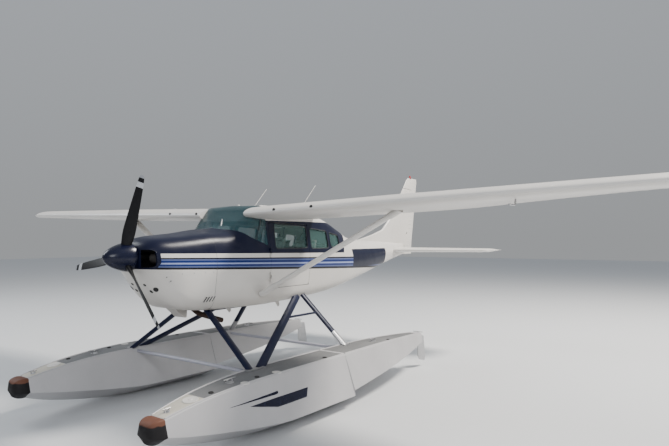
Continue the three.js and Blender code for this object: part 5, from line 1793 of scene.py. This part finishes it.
# %% Ports, fasteners and louvres
PORTS = [(-891, -349, 22), (-805, -434, 27), (-700, -300, 8), (-760, -250, 7)]   # y, z, radius
PORT_RING = (-808, -404, [(25, -3), (35, -3), (35, 2.5), (34, 5), (25, 5)])
FASTENERS = ((-718, -310), (-560, -215), (-380, -215), (-200, -215), (-60, -215))
FASTENER = [(9, -2), (9, 1.5), (7, 2.2), (1, 2.4)]
LOUVRE_FOOT, LOUVRE_HEAD, LOUVRE_SECTION = (-35, -600), (5, -535), (17, 9)
LOUVRE_COUNT, LOUVRE_STEP = 4, (-2, -50)
ports = [(y, z, [(r, -4), (r, 1.2), (r * 0.6, 1.6), (1, 1.7)]) for y, z, r in PORTS] + [PORT_RING]
dress(gather("cowl_ports", body_studs(ports)), RUBBER)
fasteners = body_studs([(y, z, FASTENER) for y, z in FASTENERS])
dress(gather("cowl_fasteners", fasteners), METAL)
# The louvre slats are dark: painted shade in the openings between them
for side, label in SIDES:
    foot, head = on_skin(*LOUVRE_FOOT, side, 1), on_skin(*LOUVRE_HEAD, side, 1)
    shaded_slat = streamlined(f"louvres_{label}", foot, head, *LOUVRE_SECTION)
    row_of(shaded_slat, LOUVRE_COUNT, (side * LOUVRE_STEP[0], LOUVRE_STEP[1], 0), GASKET)
    dress(shaded_slat, GASKET)
print("ports", len(ports), "fasteners", len(fasteners))

# %% Bend the exhaust pipe
EXHAUST_WALL, EXHAUST_OPEN = 4, 150
EXHAUST_PATH = [(0, -420, -520.3), (0, -420, -585), (2, -310, -640), (3, -130, -690), (4, 20, -785),
                (5, 250, -860), (6, 470, -925)]


def hollow_pipe(name, path, radius, wall, depth):
    """A pipe that is open at its far end for a short way."""
    spots = [Vector(p) for p in path]
    back = spots[-2] - spots[-1]
    stops = [(p, spots[max(i - 1, 0)] - spots[min(i + 1, len(spots) - 1)], radius)
             for i, p in enumerate(spots)]
    stops += [(spots[-1] + back.normalized() * d, back, radius - wall) for d in (0, depth)]
    rings = []
    for spot, behind, r in stops:
        ahead = -behind.normalized()
        side = ahead.cross(Vector((1, 0, 0))).normalized()
        rings.append(circle(spot, side * r, ahead.cross(side) * r, 28))
    return polish(loft(name, rings), 40)


def smooth_path(points, steps=6):
    """A Catmull-Rom curve through points."""
    spots = [Vector(p) for p in points]
    result = []
    for i in range(len(spots) - 1):
        a, b, c, d = (spots[max(0, min(len(spots) - 1, k))] for k in (i - 1, i, i + 1, i + 2))
        for n in range(steps):
            t = n / steps
            result.append(0.5 * (2 * b + (c - a) * t + (2 * a - 5 * b + 4 * c - d) * t ** 2
                                 + (3 * b - a - 3 * c + d) * t ** 3))
    return result + [spots[-1]]


exhaust_path = smooth_path([(EXHAUST_X + x, y, z) for x, y, z in EXHAUST_PATH])
exhaust = hollow_pipe("exhaust_tail_pipe", exhaust_path, EXHAUST_R, EXHAUST_WALL, EXHAUST_OPEN)
dress(exhaust, EXHAUST_METAL, stands_for=["exhaust_pipe"])
print("exhaust rings", len(exhaust_path))

# %% [markdown]
# ## Seats
#
# A cabin seat is a light metal frame with two stuffed pads in sewn covers. A block with rounded
# corners never looks stuffed, so each pad is remeshed to even faces and its cover is let swell
# under a little pressure, as cloth does over foam. The seams are pressed in afterwards, because
# the remesh would rub them out, and a cord of piping is laid round each edge of the swollen pad.

# %% Cut the pads
SEATS = {  # x from, x to, front y, height of the top of the back
    "seat_front_left": (60, 490, 1000, 270), "seat_front_right": (-490, -60, 1000, 270),
    "seat_mid_left": (50, 490, 1850, 230), "seat_mid_right": (-490, -50, 1850, 230),
    "seat_rear": (-380, 380, 2440, 130),
}
PAD_IN, PAD_R, PAD_VOXEL = 14, 24, 13


def pad_outlines(y0, back):
    return {
        "cushion": [(y0 + 12, -350), (y0 + 390, -350), (y0 + 390, -278), (y0 + 12, -256)],
        "backrest": [(y0 + 416, -330), (y0 + 462, -330), (y0 + 574, back - 18), (y0 + 514, back - 18)],
    }


def pad(name, outline, x0, x1):
    piece = prism(name, outline, x0 + PAD_IN, x1 - PAD_IN, PAD_R, 4)
    remesh = piece.modifiers.new("even faces", "REMESH")
    remesh.mode = "VOXEL"
    remesh.voxel_size = PAD_VOXEL * MM
    return settle(piece)


pads = {}
for name, (x0, x1, y0, back) in SEATS.items():
    for kind, outline in pad_outlines(y0, back).items():
        pads[f"{name}_{kind}"] = (pad(f"{name}_{kind}", outline, x0, x1), outline, name)
print("pads", len(pads), "faces", sum(len(one.data.polygons) for one, _, _ in pads.values()))

# %% Let the covers swell
PAD_CAP, PAD_PRESSURE, CLOTH_FRAMES = 18, 4.0, 20


def inflate(pads):
    """Every cover swells at once, and no point moves further than the cap."""
    before = [[vertex.co.copy() for vertex in one.data.vertices] for one in pads]
    for one in pads:
        cloth = one.modifiers.new("cloth", "CLOTH").settings
        cloth.use_pressure = True
        cloth.uniform_pressure_force = PAD_PRESSURE
        cloth.effector_weights.gravity = 0.0
    for number in range(1, CLOTH_FRAMES + 1):
        bpy.context.scene.frame_set(number)
    furthest = 0.0
    for one, places in zip(pads, before):
        settle(one)
        for vertex, place in zip(one.data.vertices, places):
            move = vertex.co - place
            furthest = max(furthest, move.length)
            if move.length > PAD_CAP * MM:
                vertex.co = place + move.normalized() * PAD_CAP * MM
    bpy.context.scene.frame_set(1)
    print("furthest move mm", round(furthest / MM))


inflate([one for one, _, _ in pads.values()])

# %% Sew the seams and lay the piping
SEAM_DEPTH, SEAM_WIDTH, PIPING_R = 9, 9, 4


def press_seams(one, xs, crossing):
    """Presses sewn lines into a pad: along it at some x, and across it at one height or depth."""
    split = one.modifiers.new("finer", "SUBSURF")
    split.levels = split.render_levels = 1
    settle(one)
    mesh = one.data
    normals = [vertex.normal.copy() for vertex in mesh.vertices]
    for vertex, normal in zip(mesh.vertices, normals):
        place = (vertex.co - FRAME_SHIFT) / MM
        lines = [place.x - x for x in xs] + [place[axis] - value for axis, value in crossing]
        depth = max(exp(-(away / SEAM_WIDTH) ** 2) for away in lines)
        vertex.co -= normal * depth * SEAM_DEPTH * MM
    return polish(one, 60)


def piping(one, outline, x0, x1):
    """Two cords of piping where the top and the sides of the cover are sewn together."""
    made = []
    for x in (x0 + PAD_IN, x1 - PAD_IN):
        path = []
        for y, z in rounded(outline, PAD_R, 5):
            found, spot, normal, _ = one.closest_point_on_mesh(at(x, y, z))
            if found:
                path.append((spot + normal * PIPING_R * 0.3 * MM - FRAME_SHIFT) / MM)
        made.append(ring_tube("piping", path, PIPING_R, 6))
    return made


def woven():
    """Brown-grey upholstery: fine threads both ways, faded a little, soft at a glancing angle."""
    made = Finish("woven seat cloth")
    warp, weft = made.noise(520.0, 2.0, (1.0, 0.12, 0.12)), made.noise(520.0, 2.0, (0.12, 1.0, 1.0))
    threads = made.all_of(warp, weft)
    faded = made.mix(made.noise(5.0, 5.0), (0.135, 0.115, 0.10), (0.21, 0.18, 0.16))
    made.bump(threads, 0.6, 0.0015)
    return made.done(made.mix(made.all_of(threads, 1.6), (0.06, 0.052, 0.048), faded),
                     made.between(threads, 0.75, 0.95), sheen=0.35)


SEAT_CLOTH = woven()
PIPING_CLOTH = painted("seat piping", (0.05, 0.045, 0.042), 0.7, 0.2, 20.0, 300.0, 0.3)
for key, (one, outline, name) in pads.items():
    x0, x1, y0, back = SEATS[name]
    seams = 4 if name == "seat_rear" else 2
    xs = [x0 + (x1 - x0) * (n + 1) / (seams + 1) for n in range(seams)]
    crossing = [(1, y0 + 285)] if key.endswith("cushion") else [(2, back - 90), (2, back - 330)]
    press_seams(one, xs, crossing)
    cords = piping(one, outline, x0, x1)
    dress(one, SEAT_CLOTH, stands_for=[name])
    dress(gather(key + "_piping", cords), PIPING_CLOTH)
print("padded pieces", len(pads))

# %% Frames of the seats
PAN_Z, PAN_THICK = -356, 10
LEGS = ((70, 95), (410, 385))          # foot and head of a leg, behind the seat's front


def seat_frame(name, x0, x1, y0):
    under = PAN_Z - PAN_THICK
    parts = [block("pan", x0 + 16, x1 - 16, y0 + 20, y0 + 455, under, PAN_Z)]
    for x in (x0 + 45, x1 - 45):
        for foot, head in LEGS:
            parts.append(tube("leg", [(x, y0 + foot, FLOOR_Z + 6), (x, y0 + head, under)], 11, 12))
        parts.append(block("rail", x - 12, x + 12, y0 + 10, y0 + 470, FLOOR_Z + 1, FLOOR_Z + 10))
    return gather(name + "_frame", parts)


for name, (x0, x1, y0, _) in SEATS.items():
    dress(seat_frame(name, x0, x1, y0), DARK_METAL, stands_for=[name])
print("seats", len(SEATS))

# %% [markdown]
# ## Inside the cabin
#
# Through the glass one sees the lining, the top of the instrument panel with its cover, pale as a
# painted sunlit highlight, the dials and the two control wheels. The lining isn't a new shape: every
# face of the cabin's panels that looks towards the middle of the cabin gets a second finish.

# %% Line the cabin
LINED = [  # pieces, finish, height of the middle that the lined faces look towards
    (("side_panel_left", "side_panel_right", "door_left_panel", "cargo_door_front_panel",
      "cargo_door_rear_panel", "roof_panel", "front_panels"), LINING, 0),
    (("belly_panel",), TRIM, 0), (("cowl_top", "cowl_bottom"), DARK_METAL, -150),
]


def line_inside(name, lining, middle_z):
    piece = bpy.data.objects[name]
    piece.data.materials.append(lining)
    middle, count = at(0, 0, middle_z).z, 0
    for face in piece.data.polygons:
        away = Vector((face.center.x, 0, face.center.z - middle))
        if face.normal.dot(away) < -0.3 * away.length:
            face.material_index = 1
            count += 1
    print(name, "lined faces", count)


for names, lining, middle_z in LINED:
    for name in names:
        line_inside(name, lining, middle_z)

# %% Fit the panel, the dials and the wheels
COVER, COVER_IN = (-520, 520, 330, 640, 252, 266), 26
DIAL, DIAL_X, DIAL_ZS, DIAL_COUNT, DIAL_PITCH = (
    [(34, 0), (38, 1), (38, 5), (34, 6), (33, 4), (3, 4)], 90, (175, 75), 4, 92)
WHEEL_X, WHEEL_REACH, WHEEL_Z = 275, 175, 90
WHEEL = [(-125, 95), (-138, 40), (-118, -12), (-50, -30), (0, -22), (50, -30), (118, -12), (138, 40),
         (125, 95)]
# The cover is pale as a painted sunlit highlight on the top of the panel
SUNLIT_COVER_PAINT = painted("painted sunlit glareshield cover", (0.50, 0.50, 0.46), 0.8, 0.1, 6.0, 200.0, 0.3)
sunlit_cover = carve(block("glareshield_cover", *COVER), hull("room", COVER_IN, 280, 700), how="INTERSECT")
dress(polish(sunlit_cover), SUNLIT_COVER_PAINT)
face_y = (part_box("instrument_panel")[1][1] - FRAME_SHIFT.y) / MM
dials = [row_of(lathe("dial", DIAL, (DIAL_X, face_y, z), "Y", 20), DIAL_COUNT, (DIAL_PITCH, 0, 0), METAL)
         for z in DIAL_ZS]
dress(gather("panel_dials", dials), METAL)
wheels = []
for side in (1, -1):
    x, y = side * WHEEL_X, face_y + WHEEL_REACH
    wheels += [tube("wheel", smooth_path([(x + a, y, WHEEL_Z + b) for a, b in WHEEL], 4), 12, 10),
               tube("column", [(x, face_y, WHEEL_Z - 10), (x, y, WHEEL_Z - 18)], 13, 12)]
dress(gather("control_wheels", wheels), RUBBER)
print("dials", DIAL_COUNT * len(DIAL_ZS))

# %% Trim the windshield's edges, and fit the air probe and the door handle
EDGE_FOOT, EDGE_HEAD = (750, 206), (918, 612)
PROBE = [(109, 512, 400), (60, 585, 490), (40, 610, 500)]
HANDLE_YS, HANDLE_Z, HANDLE_SECTION = (1730, 1830), -4, (24, 12)
edges = []
for side in (1, -1):
    spots = [Vector(EDGE_FOOT).lerp(Vector(EDGE_HEAD), n / 8) for n in range(9)]
    edges.append(tube("edge", [on_skin(*spot, side, 1.0) for spot in spots], 8, 8))
dress(gather("windshield_edge_strips", edges), GASKET)
dress(tube("outside_air_probe", PROBE, [9, 9, 8], 14), METAL)
handle = streamlined("door_handle", *[on_skin(y, HANDLE_Z, 1, 6) for y in HANDLE_YS], *HANDLE_SECTION,
                     (0.8, 1.0, 0.8))
dress(handle, METAL, "door_left")
print("edge strips", len(edges))

# %% [markdown]
# ## Wing and tail fittings
#
# Flaps, ailerons, elevator and rudder are of thin sheet made stiff by pressed ridges that run from
# front to back. Each ridge here is a low rounded bar half sunk in the skin, so it keeps its form in
# the exported mesh. Lamps, whips, fuel caps and the cuffs of the struts are small shapes that
# sit on the skin at their real places.

# %% Press the ridges into the movable surfaces
RIDGE_HALF, RIDGE_HEIGHT, RIDGE_PITCH = 13, 3.2, 95


def ridge(path, across, up):
    rings = []
    for n, spot in enumerate(path):
        size = 0.3 if n in (0, len(path) - 1) else 1.0
        rings.append([tuple(Vector(spot) + Vector(across) * RIDGE_HALF * size * cos(2 * pi * k / 10)
                            + Vector(up) * RIDGE_HEIGHT * size * sin(2 * pi * k / 10)) for k in range(10)])
    return loft("ridge", rings)


def ridges(name, stations, starts, across, body, last=0.95):
    made = []
    for station, start in zip(stations, starts):
        for sign in (1, -1):
            fs = [start + (last - start) * k / 4 for k in (0, 0.15, 1, 2, 3, 3.9, 4)]
            made.append(ridge([station.point(f, sign) for f in fs], across, station.up * sign))
    print(name, "ridges", len(made))
    return dress(polish(gather(name, made), 50), WHITE_PAINT, body)


for side, label in SIDES:
    for kind, span in (("flap", FLAP_X), ("aileron", AILERON_X)):
        xs = range(span[0] + 60, span[1] - 40, RIDGE_PITCH)
        stations = [wing_station(x, side) for x in xs]
        starts = [hinge_fraction(s, kind) + 0.03 for s in stations]
        ridges(f"{kind}_{label}_ridges", stations, starts, (1, 0, 0), f"{kind}_{label}")
tail_stations = [tail_station(x, side) for side in (1, -1) for x in range(520, 1880, RIDGE_PITCH)]
ridges("elevator_ridges", tail_stations, [s.fraction(STAB_HINGE_Y) + 0.03 for s in tail_stations], (1, 0, 0),
       "elevator")
rudder_zs = [z for z in range(60, 1240, RIDGE_PITCH) if min(abs(z - lug) for lug in LUGS) > 40]
ridges("rudder_ridges", [fin_station(z) for z in rudder_zs],
       [fin_station(z).fraction(hinge_y(z)) + 0.05 for z in rudder_zs], (0, 0, 1), "rudder", 0.93)

print("rudder ridges at", rudder_zs)

# %% Fit the lamps, whips, cuffs, caps and vents
WHIP_PATH = [(1925, 560), (1928, 655), (1962, 722), (2328, 1071)]
WHIP_X, WHIP_R, WHIP_FOOT = 499, (7, 3.5), (110, 44, 70)
BEACON = [(24, -10), (26, 2), (26, 10), (22, 12), (22, 26), (19, 44), (12, 56), (3, 61)]
LAMP = [(26, -24), (25, -2), (22, 8), (12, 16), (2, 19)]
LAMP_X, CUFFS, CUFF_OUT = 5432, (((0.0, 0.13), 0.95), ((0.93, 1.0), 1.0)), 16
CAP_X, CAP = 1500, [(46, -4), (46, 2), (38, 3.5), (12, 4), (10, 8), (2, 8)]
VENTS, VENT = {1: (960, 1555), -1: (505, 1090)}, [(21, -8), (23, 1), (20, 3), (14, 2.5), (1, 2.4)]
dress(lathe("beacon_lens", BEACON, (0, 6905, 1560), "Z", 28), RED_LENS, "rudder")
for side, label in SIDES:
    lamp = stud(f"tip_lamp_{label}", wing_station(LAMP_X, side).hinge(0.07), (side * 0.9, -0.6, 0), LAMP)
    dress(lamp, RED_LENS if side > 0 else GREEN_LENS)
    whip = smooth_path([(side * WHIP_X, y, z) for y, z in WHIP_PATH], 5)
    radii = [WHIP_R[0] - WHIP_R[1] * n / (len(whip) - 1) for n in range(len(whip))]
    chord, thick, height = WHIP_FOOT
    foot = streamlined("foot", whip[0], whip[0] + Vector((0, 0, height)), chord, thick, (1.0, 1.0, 0.8, 0.5))
    dress(gather(f"whip_{label}", [tube("rod", whip, radii, 12), foot]), WHITE_PAINT,
          stands_for=[f"antenna_{label}"])
    body_end, wing_end = (Vector(mirrored(WING_STRUT[k], side)) for k in ("body", "wing"))
    chord, thick = (size + CUFF_OUT for size in WING_STRUT["section"])
    cuffs = [streamlined("cuff", body_end.lerp(wing_end, a), body_end.lerp(wing_end, b), chord, thick,
                         (1.0, 1.0, last)) for (a, b), last in CUFFS]
    dress(gather(f"strut_cuffs_{label}", cuffs), WHITE_PAINT)
    station = wing_station(CAP_X, side)
    dress(stud(f"fuel_cap_{label}", station.point(0.3, 1), station.up, CAP), METAL)
    vents = []
    for station in (wing_station(x, side) for x in VENTS[side]):
        spot = station.point(0.0, 1) + station.up * 18 + station.along * 6
        vents.append(stud("vent", spot, (0, -1, 0.15), VENT))
    dress(gather(f"wing_vents_{label}", vents), RUBBER)
print("whip rings", len(whip))

# %% Fit the pitot head, bumps and aerials
PITOT_X, PITOT = 3900, ((60, 12), (40, -50), (0, -62), (-170, -62))
BUMPS = ((0, 1020, 18, 14), (-120, 1180, 14, 10), (120, 1180, 14, 10), (0, 2150, 30, 20))   # x, y, r, height
AERIALS, AERIAL_Z, AERIAL_LEAN, AERIAL_SECTION = ((749, 110), (1925, 130)), -740, 70, (110, 14)
under = wing_station(PITOT_X, 1).point(0.12, -1)
head = smooth_path([under + Vector((0, y, z)) for y, z in PITOT], 4)
dress(tube("pitot_head", head, 9, 12), METAL)
bumps = [stud("bump", (x, y, crown_z(y, x)), (0, -0.2, 1), [(r, -6), (r, 4), (r * 0.7, h * 0.8), (2, h)])
         for x, y, r, h in BUMPS]
dress(gather("roof_bumps", bumps), WHITE_PAINT)
aerials = [streamlined("aerial", (0, y, AERIAL_Z), (0, y + AERIAL_LEAN, AERIAL_Z - h), *AERIAL_SECTION,
                       (1.0, 0.8, 0.5)) for y, h in AERIALS]
dress(gather("belly_aerials", aerials), WHITE_PAINT)
print("bumps", len(bumps), "aerials", len(aerials))

# %% [markdown]
# ## Deck and float fittings
#
# A float is also a little boat: it has cleats to tie up to, a hatch over its bow locker, cups for
# the pump that empties each compartment, a raised lip along the deck and dark stripes on its side.
# Most of them repeat, so each is one short function that reads the deck's height where it stands.

# %% Read the deck and set shapes on it


def deck_z(y):
    return float_row(y)[0] + 4


def deck_stud(side, x, y, lift, profile, steps=24):
    """A turned shape that stands on a float's deck, x outboard of its middle."""
    slope = Vector((0, deck_z(y - 10) - deck_z(y + 10), 20))
    return stud("stud", (side * (FLOAT_X + x), y, deck_z(y) + lift), slope, profile, steps)


def deck_lips(side):
    lips = []
    for hand in (1, -1):
        for y0, y1 in ((-1706, 1490), (1520, 4250)):
            path = [(side * FLOAT_X + hand * (float_row(y)[1] - 21), y, deck_z(y) + 1)
                    for y in (y0 + (y1 - y0) * n / 30 for n in range(31))]
            lips.append(tube("lip", path, 9, 8))
    return lips


# %% Cleats
CLEATS = [  # places along the deck, length, radius, height, half distance of the feet
    ((-640, 2720), 200, 9, 42, 38), ((-1592,), 120, 8, 34, 24)]


def cleat(side, y, length, r, height, feet_y):
    x, half, top = side * FLOAT_X, length / 2, deck_z(y) + height
    bar = tube("bar", [(x, y + half * t, top - (2 if abs(t) < 1 else 0)) for t in (-1, -0.6, 0.6, 1)],
               [r * 0.6, r, r, r * 0.6], 14)
    feet = [tube("foot", [(x, y + sign * feet_y, z) for z in (deck_z(y) - 6, top)], r * 0.9, 12)
            for sign in (1, -1)]
    base = deck_stud(side, 0, y, 0, [(feet_y + 14, -4), (feet_y + 12, 3), (4, 4)])
    return gather("cleat", [bar, base] + feet)


print("cleats on a deck", sum(len(ys) for ys, *_ in CLEATS))

# %% Hatches, lids and pump cups
HATCH_X, HATCH_Y, HATCH_R = 20, -1280, 87
HATCH = [(HATCH_R, -8), (HATCH_R, 6), (HATCH_R - 8, 9), (HATCH_R - 14, 7), (24, 8), (20, 12), (3, 12)]
LIDS = ((164, 20, 58), (165, -569, 52))   # x, y, radius
CUPS = ((71, -1022, 30), (120, -300, 30), (150, 1100, 30), (120, 3000, 28))


def hatches(side):
    lids = [deck_stud(side, x, y, 1, [(r, -6), (r, 4), (r - 6, 6), (3, 6)]) for x, y, r in LIDS]
    return [deck_stud(side, HATCH_X, HATCH_Y, 2, HATCH, 40)] + lids


def pump_cups(side):
    return [deck_stud(side, x, y, 1, [(r, -6), (r, 7), (r - 4, 10), (r - 9, 9), (r - 12, 3), (3, 3)])
            for x, y, r in CUPS]


print("cups on a deck", len(CUPS))

# %% Stripes on the floats' sides
SLASHES = [  # rows of y, top z, foot z
    [(-897, -1599, -1601), (-141, -1568, -1600), (-100, -1566, -1592)],
    [(-597, -1644, -1646), (-199, -1634, -1726), (-161, -1633, -1735), (420, -1633, -1735),
     (480, -1634, -1640)],
]
SLASH_OUT, SLASH_IN, SLASH_STEP = 2.6, -4, 90


def side_x(y, z):
    deck, deck_half, chine, chine_half, _ = float_row(y)
    return deck_half + (chine_half - deck_half) * (deck - 20 - z) / (deck - 20 - chine)


def slash(side, rows):
    """A painted stripe as a thin skin of its own, proud of the hull's outboard side."""
    spots = []
    for a, b in zip(rows, rows[1:]):
        steps = max(1, round((b[0] - a[0]) / SLASH_STEP))
        spots += [Vector(a).lerp(Vector(b), n / steps) for n in range(steps)]
    rings = []
    for y, top, foot in spots + [rows[-1]]:
        corners = ((top, SLASH_OUT), (foot, SLASH_OUT), (foot, SLASH_IN), (top, SLASH_IN))
        rings.append([(side * (FLOAT_X + side_x(y, z) + out), y, z) for z, out in corners])
    return polish(loft("slash", rings), 30)


print("stripes on a side", len(SLASHES))

# %% Feet and sleeves of the struts
FOOT_HALF_X, FOOT_HALF_Y, SLEEVE_TOP_Z, SLEEVE_OUT = 38, 80, -1200, 10


def strut_feet(side):
    parts = []
    for kind, (top, foot) in FITTINGS.items():
        x, y, z = mirrored(foot, side)
        parts.append(block("foot", x - FOOT_HALF_X, x + FOOT_HALF_X, y - FOOT_HALF_Y, y + FOOT_HALF_Y,
                           deck_z(y) - 4, deck_z(y) + 12))
        if kind == "rear":
            head = on_line(mirrored(top, side), (x, y, z), SLEEVE_TOP_Z)
            parts.append(streamlined("sleeve", head, (x, y, z), STRUT_CHORD + SLEEVE_OUT,
                                     STRUT_THICK + SLEEVE_OUT, (0.96, 1.0, 1.0)))
    return parts


print("feet on a deck", len(FITTINGS))

# %% Fit out the floats
SPREADER_PAINT = painted("grey spreader paint", (0.40, 0.40, 0.46), 0.4, 0.1, 4.0, 40.0, 0.1)
for side, label in SIDES:
    cleats = [cleat(side, y, *sizes) for ys, *sizes in CLEATS for y in ys]
    dress(gather(f"cleats_{label}", cleats), METAL)
    dress(gather(f"deck_hatches_{label}", hatches(side)), WHITE_PAINT)
    dress(gather(f"pump_cups_{label}", pump_cups(side)), RUBBER)
    dress(gather(f"deck_lips_{label}", deck_lips(side)), FLOAT_PAINT)
    dress(gather(f"side_stripes_{label}", [slash(side, rows) for rows in SLASHES]), NAVY_PAINT)
    dress(gather(f"strut_feet_{label}", strut_feet(side)), METAL)
for label in ("front", "rear"):
    bpy.data.objects[f"spreader_{label}_tube"].data.materials[0] = SPREADER_PAINT
print("pieces", len(dressed))
